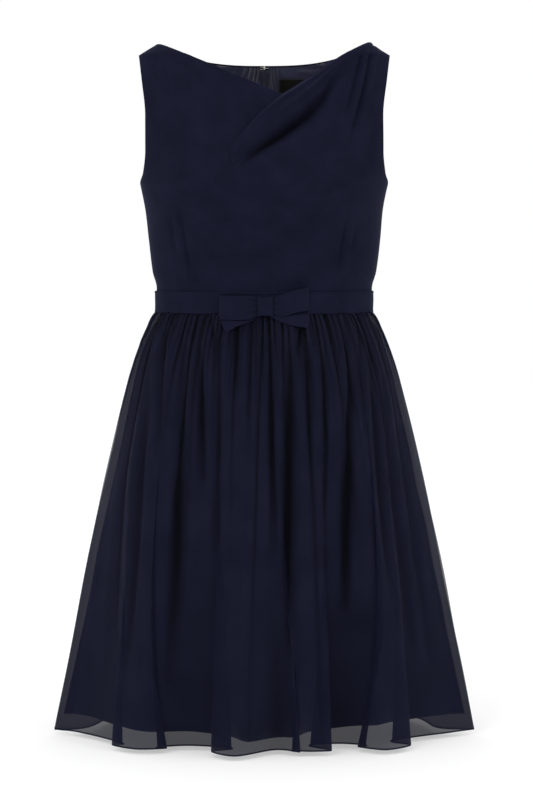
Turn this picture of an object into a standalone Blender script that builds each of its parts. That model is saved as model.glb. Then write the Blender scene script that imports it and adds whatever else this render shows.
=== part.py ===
"""A sleeveless a-line dress, filled out as if worn, with nobody in it.

Metres, +Z up. The front of the dress looks along -Y. Left and right are the wearer's, so left is +X.
The origin is midway between the neck ends of the two shoulder seams, where a wearer holds it up.
Every cloth piece is a thin wall: an open surface through rings worked out from the tables below,
given its thickness inwards.
"""

import math

import bpy
import numpy as np
from mathutils import Matrix, Vector

# Walls and gaps
CLOTH = 0.0012
CHIFFON = 0.0010
LINING = 0.0010
BELT_WALL = 0.0018
BELT_CLEARANCE = 0.0007
TAPE = 0.0010
GAP = 0.0003
SEAM_HALF_GAP = 0.00025

# Heights
SHOULDER_TIP = -0.0166
UNDERARM = -0.188
BELT_TOP = -0.3315
WAIST_SEAM = -0.3465
BELT_BOTTOM = -0.3608
ZIP_TOP = -0.0300
ZIP_END = -0.520
LINING_HEM = -0.9060
HEM = -0.9285

# Neckline: the V of the front, off centre, and the shallow curve of the back
SHOULDER_NECK_X = 0.1410
SHOULDER_TIP_X = 0.1683
V_POINT_X = 0.0267
V_POINT_Z = -0.0740
LEFT_NECK_BOW = -0.0010
BACK_NECK_Z = -0.0248
BACK_NECK_POWER = 2.9

# The bodice from shoulder to waist. ring: half width of the whole ring. edge: half width at the
# armhole or side seam. front and back: depth of the ring before and behind the side seams.
BODICE_COLUMNS = ("height", "ring", "edge", "front", "back")
BODICE_FORM = (
    (SHOULDER_TIP, 0.1683, 0.1683, 0.0620, 0.0640),
    (-0.050, 0.1780, 0.1637, 0.0820, 0.0760),
    (-0.100, 0.1820, 0.1583, 0.1030, 0.0930),
    (-0.145, 0.1760, 0.1583, 0.1190, 0.1020),
    (-0.175, 0.1695, 0.1618, 0.1270, 0.1040),
    (UNDERARM, 0.1665, 0.1665, 0.1290, 0.1030),
    (-0.227, 0.1590, 0.1590, 0.1240, 0.1000),
    (-0.262, 0.1557, 0.1557, 0.1120, 0.0970),
    (-0.306, 0.1505, 0.1505, 0.1000, 0.0950),
    (-0.328, 0.1449, 0.1449, 0.0970, 0.0950),
    (WAIST_SEAM, 0.1449, 0.1449, 0.0970, 0.0950),
)
TOP_FRONT_DEPTH = 0.0520
TOP_BACK_DEPTH = 0.0560
BUST_X = 0.0720
BUST_HEIGHT = -0.2000
BUST_WIDTH = 0.0420
BUST_RISE = 0.0060

# The skirt's own form, before its folds
SKIRT_COLUMNS = ("height", "half_width", "front", "back")
SKIRT_FORM = (
    (WAIST_SEAM, 0.1449, 0.0970, 0.0950),
    (BELT_BOTTOM, 0.1449, 0.0970, 0.0950),
    (-0.3660, 0.1490, 0.0990, 0.0980),
    (-0.3810, 0.1570, 0.1040, 0.1050),
    (-0.4040, 0.1674, 0.1110, 0.1130),
    (-0.4280, 0.1762, 0.1160, 0.1190),
    (-0.4725, 0.1883, 0.1220, 0.1270),
    (-0.5535, 0.2086, 0.1300, 0.1350),
    (-0.6750, 0.2356, 0.1370, 0.1410),
    (-0.7965, 0.2599, 0.1420, 0.1440),
    (HEM, 0.2862, 0.1450, 0.1470),
)
LINING_FORM = (
    (WAIST_SEAM, 0.1404, 0.0926, 0.0902),
    (BELT_BOTTOM, 0.1404, 0.0926, 0.0902),
    (-0.4040, 0.1530, 0.1010, 0.1030),
    (-0.4725, 0.1740, 0.1080, 0.1150),
    (-0.5535, 0.1940, 0.1140, 0.1220),
    (-0.6750, 0.2215, 0.1190, 0.1260),
    (-0.7965, 0.2465, 0.1230, 0.1270),
    (LINING_HEM, 0.2700, 0.1260, 0.1280),
)

# The turns of the hem line, from the wearer's right side seam round the front to the left one, and
# from the left side seam round the back. angle: where the turn's cloth leaves the belt, in degrees
# from straight ahead. x and depth: where it ends at the hem. start: the height where the fold begins.
# The four tucks double the cloth back under the fold beside them.
TURN_COLUMNS = ("angle", "x", "depth", "start")
FRONT_TURNS = (
    (-90.0, -0.2862, 0.0014, -0.45),  # fold of the right side
    (-71.0, -0.2450, 0.028, -0.45),  # first hollow
    (-58.0, -0.1880, 0.097, -0.56),  # first tuck, inner turn
    (-52.0, -0.2000, 0.108, -0.56),  # first tuck, outer edge
    (-44.0, -0.1665, 0.135, -0.45),  # crest
    (-29.0, -0.1000, 0.112, -0.42),  # hollow
    (-20.0, -0.0420, 0.131, -0.42),  # second tuck, inner turn
    (-16.0, -0.0690, 0.150, -0.42),  # second tuck, outer edge
    (-8.0, -0.0360, 0.180, -0.42),  # middle crest
    (5.0, 0.0210, 0.135, -0.42),  # middle hollow
    (13.0, 0.0640, 0.157, -0.45),  # crest
    (20.0, 0.0885, 0.143, -0.52),  # third tuck, outer edge
    (24.0, 0.0600, 0.112, -0.52),  # third tuck, inner turn
    (31.0, 0.1020, 0.099, -0.45),  # hollow
    (45.0, 0.1600, 0.140, -0.45),  # crest
    (53.0, 0.1940, 0.108, -0.50),  # fourth tuck, outer edge
    (58.0, 0.1710, 0.080, -0.50),  # fourth tuck, inner turn
    (72.0, 0.2430, 0.029, -0.45),  # last hollow
    (90.0, 0.2862, 0.0014, -0.45),  # fold of the left side
)
BACK_TURNS = (
    (90.0, 0.2862, -0.0014, -0.45),  # fold of the left side
    (105.0, 0.2420, -0.010, -0.45),  # hollow
    (121.0, 0.2080, -0.090, -0.45),  # crest
    (131.0, 0.1620, -0.084, -0.50),  # hollow
    (145.0, 0.1180, -0.158, -0.50),  # crest
    (155.0, 0.0720, -0.124, -0.55),  # hollow
    (167.0, 0.0360, -0.160, -0.58),  # crest beside the middle seam
    (180.0, 0.0000, -0.142, -0.58),  # middle seam
    (193.0, -0.0380, -0.163, -0.58),  # crest beside the middle seam
    (206.0, -0.0800, -0.122, -0.55),  # hollow
    (217.0, -0.1300, -0.155, -0.50),  # crest
    (229.0, -0.1700, -0.082, -0.50),  # hollow
    (240.0, -0.2140, -0.088, -0.45),  # crest
    (255.0, -0.2440, -0.010, -0.45),  # hollow
    (270.0, -0.2862, -0.0014, -0.45),  # fold of the right side
)
MIDDLE_BACK_TURN = 7
LINING_FRONT_TURNS = (
    (-90.0, -0.2700, 0.005, -0.45),
    (-71.0, -0.2380, 0.015, -0.45),
    (-56.0, -0.1960, 0.073, -0.50),
    (-44.0, -0.1560, 0.108, -0.45),
    (-29.0, -0.1000, 0.098, -0.45),
    (-19.0, -0.0520, 0.110, -0.42),
    (-8.0, -0.0240, 0.138, -0.42),
    (5.0, 0.0180, 0.116, -0.42),
    (13.0, 0.0420, 0.121, -0.45),
    (23.0, 0.0620, 0.092, -0.50),
    (33.0, 0.1050, 0.084, -0.45),
    (45.0, 0.1450, 0.088, -0.45),
    (57.0, 0.1780, 0.058, -0.45),
    (72.0, 0.2380, 0.015, -0.45),
    (90.0, 0.2700, 0.005, -0.45),
)
LINING_BACK_TURNS = (
    (90.0, 0.2700, 0.002, -0.45),
    (105.0, 0.2360, -0.003, -0.45),
    (121.0, 0.1960, -0.070, -0.45),
    (132.0, 0.1580, -0.070, -0.50),
    (145.0, 0.1120, -0.124, -0.50),
    (157.0, 0.0680, -0.108, -0.55),
    (168.0, 0.0320, -0.130, -0.58),
    (180.0, 0.0000, -0.124, -0.58),
    (192.0, -0.0340, -0.132, -0.58),
    (204.0, -0.0740, -0.106, -0.55),
    (216.0, -0.1220, -0.124, -0.50),
    (229.0, -0.1650, -0.068, -0.50),
    (240.0, -0.2020, -0.068, -0.45),
    (255.0, -0.2380, -0.003, -0.45),
    (270.0, -0.2700, 0.002, -0.45),
)
FOLD_GROWTH = 1.25
# The panels stop this share of a turn short of each seam
SEAM_PULL_BACK = 0.006

# The drape from the left shoulder across the V: its upper and lower edge as seen from the front,
# and how far it stands off the bodice
DRAPE_COLUMNS = ("upper_x", "upper_z", "lower_x", "lower_z", "rise")
DRAPE = (
    (0.1330, -0.0050, 0.1200, -0.0190, 0.0010),
    (0.1000, -0.0225, 0.0980, -0.0380, 0.0030),
    (0.0740, -0.0418, 0.0880, -0.0560, 0.0050),
    (0.0530, -0.0560, 0.0760, -0.0780, 0.0065),
    (0.0350, -0.0680, 0.0570, -0.0995, 0.0075),
    (0.0215, -0.0775, 0.0360, -0.1170, 0.0075),
    (0.0080, -0.0885, 0.0170, -0.1310, 0.0065),
    (-0.0110, -0.1070, -0.0040, -0.1450, 0.0050),
    (-0.0285, -0.1275, -0.0200, -0.1560, 0.0030),
    (-0.0450, -0.1450, -0.0390, -0.1600, 0.0010),
)
DRAPE_STAND = 0.0006
DRAPE_ROUNDNESS = 0.8

# The bow on the belt. Its two sides differ: row by row, the outline of each loop and tail as
# distance from the knot's middle, top and bottom
BOW_X = 0.0014
KNOT_HALF_WIDTH = 0.0103
KNOT_TOP = -0.3368
KNOT_BOTTOM = -0.3640
KNOT_OUT = 0.0106
BOW_COLUMNS = ("out", "top", "bottom")
LEFT_LOOP = (
    (0.0106, -0.3385, -0.3622),
    (0.0220, -0.3345, -0.3634),
    (0.0420, -0.3290, -0.3595),
    (0.0590, -0.3262, -0.3582),
)
RIGHT_LOOP = (
    (0.0106, -0.3385, -0.3622),
    (0.0220, -0.3368, -0.3675),
    (0.0420, -0.3366, -0.3682),
    (0.0600, -0.3364, -0.3680),
)
LEFT_TAIL = (
    (0.0106, -0.3420, -0.3655),
    (0.0250, -0.3440, -0.3720),
    (0.0430, -0.3470, -0.3778),
    (0.0582, -0.3500, -0.3800),
)
RIGHT_TAIL = (
    (0.0106, -0.3420, -0.3655),
    (0.0250, -0.3440, -0.3716),
    (0.0400, -0.3480, -0.3775),
    (0.0520, -0.3560, -0.3846),
)
LOOP_BACK_OFFSET = 0.0018
LOOP_FULLNESS = 0.0050
LOOP_END_FULLNESS = 0.0030
LOOP_CROWN = 0.0015
LOOP_END_RADIUS = 0.0015

# Label inside the back of the neck
LABEL_X = 0.0380
LABEL_WIDTH = 0.0350
LABEL_TOP = -0.0410
LABEL_HEIGHT = 0.0300

# Zip slider, its pull tab, and the hook and eye above them
SLIDER_Z = -0.0400
SLIDER_HALF_LENGTH = 0.0040
SLIDER_DEPTH = 0.0040
SLIDER_HALF_WIDTH = 0.0010
SLIDER_HOLE_HALF_LENGTH = 0.0020
SLIDER_HOLE_HALF_DEPTH = 0.0013
PULL_LENGTH = 0.0200
PULL_HALF_WIDTH = 0.0032
PULL_NECK_HALF_WIDTH = 0.0027
PULL_WINDOW_HALF_WIDTH = 0.0016
PULL_WINDOW_END = 0.0060
PULL_BAR_HALF = 0.0006
PULL_THICKNESS = 0.0011
ZIP_HALF_WIDTH = 0.0105
COIL_HALF_WIDTH = 0.0020
WIRE = 0.00045
HOOK_Z = -0.0290
HOOK_INSET = 0.0064
HOOK_REACH = 0.0012
EYE_RADIUS = 0.0017
EYE_LEG_START = 0.0016
EYE_LEG_END = 0.0013

NAVY = (0.012, 0.014, 0.030)
NAVY_LINING = (0.020, 0.022, 0.040)
LABEL_BLACK = (0.008, 0.008, 0.008)
SILVER = (0.55, 0.55, 0.56)


class Profile:
    """A smooth curve through one column of a table, by height, that never overshoots a row."""

    def __init__(self, table, columns, name):
        order = sorted(table, key=lambda row: row[0])
        self.x = np.array([row[0] for row in order])
        self.y = np.array([row[columns.index(name)] for row in order])
        step = np.diff(self.x)
        rise = np.diff(self.y) / step
        slope = np.zeros(len(self.x))
        slope[0] = rise[0]
        slope[-1] = rise[-1]
        for i in range(1, len(rise)):
            if rise[i - 1] * rise[i] > 0:
                before = 2 * step[i] + step[i - 1]
                after = step[i] + 2 * step[i - 1]
                slope[i] = (before + after) / (before / rise[i - 1] + after / rise[i])
        self.slope = slope

    def __call__(self, height):
        height = min(max(height, self.x[0]), self.x[-1])
        i = int(np.clip(np.searchsorted(self.x, height) - 1, 0, len(self.x) - 2))
        span = self.x[i + 1] - self.x[i]
        t = (height - self.x[i]) / span
        return float(
            self.y[i] * (1 + 2 * t) * (1 - t) ** 2
            + self.slope[i] * span * t * (1 - t) ** 2
            + self.y[i + 1] * t * t * (3 - 2 * t)
            + self.slope[i + 1] * span * t * t * (t - 1)
        )


def profiles(table, columns):
    return {name: Profile(table, columns, name) for name in columns[1:]}


BODICE = profiles(BODICE_FORM, BODICE_COLUMNS)
SKIRT = profiles(SKIRT_FORM, SKIRT_COLUMNS)
UNDERSKIRT = profiles(LINING_FORM, SKIRT_COLUMNS)


def through_rows(table, columns, name, place):
    """A column's value at a place along a table, as a Catmull-Rom curve through its rows."""
    values = [row[columns.index(name)] for row in table]
    last = len(values) - 1
    i = min(int(place), last - 1)
    t = place - i
    before = values[i - 1] if i > 0 else 2 * values[0] - values[1]
    after = values[i + 2] if i + 2 <= last else 2 * values[last] - values[last - 1]
    a, b = values[i], values[i + 1]
    return 0.5 * (
        2 * a
        + (b - before) * t
        + (2 * before - 5 * a + 4 * b - after) * t * t
        + (3 * a - before - 3 * b + after) * t * t * t
    )


# The bodice form


def shoulder_line_x(z):
    """Half width of the shoulder seam at a height above the shoulder tips."""
    return SHOULDER_NECK_X + (SHOULDER_TIP_X - SHOULDER_NECK_X) * z / SHOULDER_TIP


def ring_half_width(z):
    return shoulder_line_x(z) if z > SHOULDER_TIP else BODICE["ring"](z)


def edge_half_width(z):
    """Half width at the shoulder seam, armhole edge or side seam."""
    return BODICE["edge"](z) if UNDERARM < z < SHOULDER_TIP else ring_half_width(z)


def ring_depth(z, side):
    """Depth of the ring before (side -1) or behind (side +1) the side seams."""
    name, top = ("front", TOP_FRONT_DEPTH) if side < 0 else ("back", TOP_BACK_DEPTH)
    if z > SHOULDER_TIP:
        return top + (BODICE[name](SHOULDER_TIP) - top) * z / SHOULDER_TIP
    return BODICE[name](z)


def bust(x, z):
    across = sum(math.exp(-(((x - s * BUST_X) / BUST_WIDTH) ** 2)) for s in (-1, 1))
    return BUST_RISE * across * math.exp(-(((z - BUST_HEIGHT) / BUST_WIDTH) ** 2))


def body_at_x(x, z, side):
    """The bodice surface straight ahead of, or behind, a point (x, z) of the front view."""
    inside = max(1 - (x / ring_half_width(z)) ** 2, 0)
    y = ring_depth(z, side) * math.sqrt(inside)
    if side < 0:
        y += bust(x, z) * inside
    return Vector((x, side * y, z))


def edge_angle(z):
    return math.asin(min(edge_half_width(z) / ring_half_width(z), 1))


def front_neck_z(x):
    if x <= V_POINT_X:
        return V_POINT_Z * (x + SHOULDER_NECK_X) / (V_POINT_X + SHOULDER_NECK_X)
    along = (x - V_POINT_X) / (SHOULDER_NECK_X - V_POINT_X)
    return V_POINT_Z * (1 - along) + LEFT_NECK_BOW * math.sin(math.pi * along)


def back_neck_z(x):
    return BACK_NECK_Z * (1 - abs(x / SHOULDER_NECK_X) ** BACK_NECK_POWER)


def neck_height(across, neck_z):
    """Height where the line of constant share across the panel meets the neckline."""
    low, high = V_POINT_Z - 0.01, 0.0
    for _ in range(40):
        z = (low + high) / 2
        x = ring_half_width(z) * math.sin(across * edge_angle(z))
        if z < neck_z(x):
            low = z
        else:
            high = z
    return low


def bodice_point(across, z, side):
    """Point at a share across the panel: 0 is the middle, -1 and 1 are the armhole or side seam."""
    pull_back = SEAM_HALF_GAP / ring_depth(z, side)
    angle = across * (edge_angle(z) - pull_back)
    return body_at_x(ring_half_width(z) * math.sin(angle), z, side)


# Shares of the way down from neckline to waist seam where a bodice panel has a row of points.
# They pass through the shoulder tip and the underarm on the panel's edge.
BACK_SHARES = (0.93, 0.84, 0.73, 0.61, 0.48, 0.35, 0.22, 0.10)
BODICE_ROWS = (
    0.0, 0.048, 0.065, 0.12, 0.22, 0.34, 0.45, 0.522, 0.5426, 0.62, 0.72, 0.83, 0.946, 1.0,
)


def bodice_rows(shares_across, side, neck_z, neck_drop=0.0):
    bottom = WAIST_SEAM + GAP / 2
    tops = [neck_height(share, neck_z) - neck_drop for share in shares_across]
    return [
        [
            bodice_point(share, top + (bottom - top) * down, side)
            for share, top in zip(shares_across, tops)
        ]
        for down in BODICE_ROWS
    ]


# The skirt form


def fold_growth(z, start, hem):
    return min(max((start - z) / (start - hem), 0), 1) ** FOLD_GROWTH


def skirt_point(turns, form, hem, place, z):
    """Point of a skirt panel: place counts the turns of its hem line, z is the height."""
    column = {n: through_rows(turns, TURN_COLUMNS, n, place) for n in TURN_COLUMNS}
    angle = math.radians(column["angle"])

    def plan(height):
        depth = form["front"](height) if math.cos(angle) > 0 else form["back"](height)
        return Vector((form["half_width"](height) * math.sin(angle), -depth * math.cos(angle)))

    fold = Vector((column["x"], -column["depth"])) - plan(hem)
    at = plan(z) + fold * fold_growth(z, column["start"], hem)
    return Vector((at.x, at.y, z))


SKIRT_ROWS = (
    BELT_BOTTOM, -0.3670, -0.3840, -0.4180, -0.4750, -0.5500, -0.6400, -0.7350, -0.8300, HEM,
)
UNDERSKIRT_ROWS = (BELT_BOTTOM, -0.4040, -0.4725, -0.5600, -0.6700, -0.7850, LINING_HEM)


def skirt_rows(turns, form, heights, first, last, steps):
    hem = heights[-1]
    places = shares(first + SEAM_PULL_BACK, last - SEAM_PULL_BACK, steps)
    tops = (WAIST_SEAM - GAP / 2,) + tuple(heights)
    return [[skirt_point(turns, form, hem, place, z) for place in places] for z in tops]


# Building


def remove_everything():
    for thing in list(bpy.data.objects):
        bpy.data.objects.remove(thing, do_unlink=True)


def finish_material(name, colour, roughness, metallic=0.0):
    material = bpy.data.materials.new(name)
    material.use_nodes = True
    shader = material.node_tree.nodes["Principled BSDF"]
    shader.inputs["Base Color"].default_value = (*colour, 1)
    shader.inputs["Roughness"].default_value = roughness
    shader.inputs["Metallic"].default_value = metallic
    return material


def add_object(name, data, collection, colour, roughness=0.8, metallic=0.0):
    """Links a new object of the dress, with a material of its own."""
    thing = bpy.data.objects.new(name, data)
    data.materials.append(finish_material(name + "_finish", colour, roughness, metallic))
    collection.objects.link(thing)
    return thing


def cloth(name, rows, wall, collection, colour, roughness=0.8):
    """A cloth wall: rows of points on its outer face, listed so that they face outwards."""
    width = len(rows[0])
    points = [p for row in rows for p in row]
    faces = []
    for r in range(len(rows) - 1):
        for c in range(width - 1):
            a = r * width + c
            faces.append((a, a + width, a + width + 1, a + 1))
    mesh = bpy.data.meshes.new(name)
    mesh.from_pydata(points, [], faces)
    mesh.shade_smooth()
    thing = add_object(name, mesh, collection, colour, roughness)
    shell = thing.modifiers.new("wall", "SOLIDIFY")
    shell.thickness = wall
    shell.offset = -1
    shell.use_even_offset = True
    return thing


def moved(rows, distance):
    """The same rows of points, moved along the surface's outward normal."""
    result = []
    for r, row in enumerate(rows):
        new = []
        for c, point in enumerate(row):
            down = rows[min(r + 1, len(rows) - 1)][c] - rows[max(r - 1, 0)][c]
            across = row[min(c + 1, len(row) - 1)] - row[max(c - 1, 0)]
            new.append(point + down.cross(across).normalized() * distance)
        result.append(new)
    return result


def shares(first, last, steps):
    return [first + (last - first) * i / steps for i in range(steps + 1)]


def bodice(collection):
    """The front in one, the back in two halves, each cut to the neckline, armholes and waist."""
    front = bodice_rows(shares(-1, 1, 18), -1, front_neck_z)
    cloth("bodice_front", front, CLOTH, collection, NAVY)
    middle = SEAM_HALF_GAP / 0.25
    across = (1.0,) + BACK_SHARES + (middle,)
    left = bodice_rows(across, 1, back_neck_z)
    cloth("bodice_back_left", left, CLOTH, collection, NAVY)
    right = bodice_rows([-share for share in reversed(across)], 1, back_neck_z)
    cloth("bodice_back_right", right, CLOTH, collection, NAVY)


def drape(collection):
    """A soft fold of the front's own cloth that runs from the left shoulder across the V."""
    steps, across_steps = 15, 4
    rows = []
    for across in shares(0, 1, across_steps):
        row = []
        for i in range(steps + 1):
            place = (len(DRAPE) - 1) * (1 - i / steps)
            at = {n: through_rows(DRAPE, DRAPE_COLUMNS, n, place) for n in DRAPE_COLUMNS}
            x = at["upper_x"] + (at["lower_x"] - at["upper_x"]) * across
            z = at["upper_z"] + (at["lower_z"] - at["upper_z"]) * across
            fold = at["rise"] * math.sin(math.pi * across) ** DRAPE_ROUNDNESS
            stand = CLOTH + GAP + DRAPE_STAND + fold
            point = body_at_x(x, z, -1)
            ahead = body_at_x(x + 0.002, z, -1) - body_at_x(x - 0.002, z, -1)
            up = body_at_x(x, z + 0.002, -1) - body_at_x(x, z - 0.002, -1)
            row.append(point + ahead.cross(up).normalized() * stand)
        rows.append(row)
    cloth("bodice_drape", rows, CLOTH, collection, NAVY)


def back_lining(collection):
    """The lining inside the back, which shows in the neck, cut clear of the zip's coil."""
    inset = -(CLOTH + 2 * GAP + TAPE + 2 * GAP)
    left = BACK_SHARES + (0.030,)
    right = [-share for share in reversed(left)]
    for name, across in (("left", left), ("right", right)):
        rows = bodice_rows(across, 1, back_neck_z, 0.0015)
        cloth("back_lining_" + name, moved(rows, inset), LINING, collection, NAVY_LINING, 0.5)


def label(collection):
    """A plain woven label sewn inside the back lining, beside the zip."""
    inset = CLOTH + 2 * GAP + TAPE + 2 * GAP + LINING + 4 * GAP
    rows = []
    columns = shares(LABEL_X + LABEL_WIDTH / 2, LABEL_X - LABEL_WIDTH / 2, 5)
    for z in shares(LABEL_TOP, LABEL_TOP - LABEL_HEIGHT, 3):
        rows.append([body_at_x(x, z, 1) for x in columns])
    cloth("neck_label", moved(rows, -inset), LINING, collection, LABEL_BLACK, 0.6)


def skirt(collection):
    """The gathered chiffon skirt over its slimmer lining: a front and two half backs of each."""
    last_front = len(FRONT_TURNS) - 1
    last_back = len(BACK_TURNS) - 1
    rows = skirt_rows(FRONT_TURNS, SKIRT, SKIRT_ROWS, 0, last_front, 36)
    cloth("skirt_front", rows, CHIFFON, collection, NAVY)
    rows = skirt_rows(BACK_TURNS, SKIRT, SKIRT_ROWS, 0, MIDDLE_BACK_TURN, 14)
    cloth("skirt_back_left", rows, CHIFFON, collection, NAVY)
    rows = skirt_rows(BACK_TURNS, SKIRT, SKIRT_ROWS, MIDDLE_BACK_TURN, last_back, 14)
    cloth("skirt_back_right", rows, CHIFFON, collection, NAVY)
    last_front = len(LINING_FRONT_TURNS) - 1
    last_back = len(LINING_BACK_TURNS) - 1
    rows = skirt_rows(LINING_FRONT_TURNS, UNDERSKIRT, UNDERSKIRT_ROWS, 0, last_front, 24)
    cloth("lining_front", rows, LINING, collection, NAVY_LINING, 0.5)
    rows = skirt_rows(LINING_BACK_TURNS, UNDERSKIRT, UNDERSKIRT_ROWS, 0, MIDDLE_BACK_TURN, 14)
    cloth("lining_back_left", rows, LINING, collection, NAVY_LINING, 0.5)
    rows = skirt_rows(LINING_BACK_TURNS, UNDERSKIRT, UNDERSKIRT_ROWS, MIDDLE_BACK_TURN, last_back, 14)
    cloth("lining_back_right", rows, LINING, collection, NAVY_LINING, 0.5)


def belt_outer(angle, z, out=0.0):
    """A point of the belt's outer face, or further out. Angle 0 is straight ahead."""
    grown = BELT_CLEARANCE + BELT_WALL + out
    depth = ring_depth(WAIST_SEAM, -1 if math.cos(angle) > 0 else 1) + grown
    half_width = ring_half_width(WAIST_SEAM) + grown
    return Vector((half_width * math.sin(angle), -depth * math.cos(angle), z))


def belt(collection):
    """The belt goes all round and ends at the zip."""
    opening = SEAM_HALF_GAP / ring_half_width(WAIST_SEAM)
    angles = shares(opening - math.pi, math.pi - opening, 42)
    rows = [[belt_outer(angle, z) for angle in angles] for z in shares(BELT_TOP, BELT_BOTTOM, 1)]
    cloth("belt", rows, BELT_WALL, collection, NAVY)


def in_front_of_waist(x, z, out):
    """A point that stands off the belt, or off the gathers below it, whichever is further out."""
    angle = math.asin(x / belt_outer(math.pi / 2, z).x)
    on_belt = belt_outer(angle, z)
    share = math.sqrt(1 - (x / SKIRT["half_width"](z)) ** 2)
    on_skirt = -SKIRT["front"](z) * share
    return Vector((x, min(on_belt.y, on_skirt) - out, z))


def bow_row(table, side, out, share):
    """x and z on one side of the bow, at a distance out from the knot and a share down."""
    top = Profile(table, BOW_COLUMNS, "top")(out)
    bottom = Profile(table, BOW_COLUMNS, "bottom")(out)
    return BOW_X + side * out, top + (bottom - top) * share


def bow_loop(name, table, side, collection):
    """A band folded back on itself: out in front, round the end, and back along the belt."""
    first, reach = table[0][0], table[-1][0]
    steps = 6
    path = []
    for i in range(steps + 1):
        t = i / steps
        full = LOOP_FULLNESS * (1 - t) + LOOP_END_FULLNESS * t + LOOP_CROWN * math.sin(math.pi * t)
        path.append((first + (reach - LOOP_END_RADIUS - first) * t, LOOP_BACK_OFFSET + full))
    path.append((reach, LOOP_BACK_OFFSET + LOOP_END_FULLNESS / 2))
    for i in range(steps + 1):
        t = 1 - i / steps
        path.append((first + (reach - LOOP_END_RADIUS - first) * t, LOOP_BACK_OFFSET))
    if side > 0:
        path.reverse()
    rows = []
    for share in shares(0, 1, 4):
        row = []
        for out, off in reversed(path):
            x, z = bow_row(table, side, out, share)
            row.append(in_front_of_waist(x, z, off))
        rows.append(row)
    cloth(name, rows, CLOTH, collection, NAVY)


def bow_tail(name, table, side, collection):
    """A flat end of the band, behind the loop, that hangs below the belt."""
    outs = shares(table[0][0], table[-1][0], 7)
    if side < 0:
        outs.reverse()
    rows = []
    for share in shares(0, 1, 4):
        row = []
        for out in outs:
            x, z = bow_row(table, side, out, share)
            row.append(in_front_of_waist(x, z, GAP + CHIFFON))
        rows.append(row)
    cloth(name, rows, CHIFFON, collection, NAVY)


def bow_knot(collection):
    """The short band that is wrapped over the middle of the bow."""
    back = belt_outer(0, 0).y - GAP
    bpy.ops.mesh.primitive_cube_add(size=1)
    knot = bpy.context.object
    knot.name = "bow_knot"
    knot.data.name = "bow_knot"
    size = Vector((2 * KNOT_HALF_WIDTH, KNOT_OUT, KNOT_TOP - KNOT_BOTTOM))
    middle = Vector((BOW_X, back - KNOT_OUT / 2, (KNOT_TOP + KNOT_BOTTOM) / 2))
    knot.data.transform(Matrix.Translation(middle) @ Matrix.Diagonal((*size, 1)))
    for holder in knot.users_collection:
        holder.objects.unlink(knot)
    collection.objects.link(knot)
    knot.data.materials.append(finish_material("bow_knot_finish", NAVY, 0.8))
    rounding = knot.modifiers.new("rounding", "BEVEL")
    rounding.width = 0.0028
    rounding.segments = 3
    knot.data.shade_smooth()


def middle_back_y(z):
    """Where the outer face of the middle back is, on the bodice or the skirt."""
    if z > WAIST_SEAM:
        return ring_depth(z, 1)
    return skirt_point(BACK_TURNS, SKIRT, HEM, MIDDLE_BACK_TURN, z).y


def zip_strip(name, half_width, inset, wall, collection, colour, roughness):
    heights = [BACK_NECK_Z + (WAIST_SEAM - BACK_NECK_Z) * down for down in BODICE_ROWS[1:]]
    heights = [ZIP_TOP] + heights + [z for z in SKIRT_ROWS if z > ZIP_END] + [ZIP_END]
    rows = []
    for z in heights:
        row = []
        for x in (half_width, -half_width):
            bend = ring_half_width(z) if z > WAIST_SEAM else SKIRT["half_width"](z)
            depth = middle_back_y(z)
            row.append(Vector((x, depth * math.sqrt(1 - (x / bend) ** 2), z)))
        rows.append(row)
    cloth(name, moved(rows, -inset), wall, collection, colour, roughness)


def zip_closure(collection):
    """The concealed zip: its tape inside the middle back, and the closed coil on the tape."""
    zip_strip("zip_tape", ZIP_HALF_WIDTH, CLOTH + 2 * GAP, TAPE, collection, NAVY, 0.7)
    coil_inset = CLOTH + 2 * GAP + TAPE + GAP
    zip_strip("zip_coil", COIL_HALF_WIDTH, coil_inset, TAPE, collection, NAVY, 0.5)


def slider_place():
    """The hinge line of the pull tab, and the turn that lays it along the sloping back."""
    step = 0.010
    above = middle_back_y(SLIDER_Z + step)
    below = middle_back_y(SLIDER_Z - step)
    slope = math.atan2(below - above, 2 * step)
    outward = Vector((0, math.cos(slope), math.sin(slope)))
    on_cloth = Vector((0, middle_back_y(SLIDER_Z), SLIDER_Z))
    axis_point = on_cloth + outward * (2 * GAP + SLIDER_DEPTH / 2)
    return axis_point, slope


def plate(name, outlines, thickness, matrix, collection, colour, roughness, metallic):
    """A flat plate with holes: closed outlines in its own XY plane, given a thickness along Z."""
    curve = bpy.data.curves.new(name + "_outline", "CURVE")
    curve.dimensions = "2D"
    curve.fill_mode = "BOTH"
    curve.extrude = thickness / 2
    for outline in outlines:
        spline = curve.splines.new("POLY")
        spline.points.add(len(outline) - 1)
        for point, (x, y) in zip(spline.points, outline):
            point.co = (x, y, 0, 1)
        spline.use_cyclic_u = True
    thing = add_object(name, curve, collection, colour, roughness, metallic)
    thing.matrix_world = matrix
    return thing


def arc(middle_x, middle_y, radius, first, last, steps):
    angles = [math.radians(a) for a in shares(first, last, steps)]
    return [(middle_x + radius * math.cos(a), middle_y + radius * math.sin(a)) for a in angles]


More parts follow.
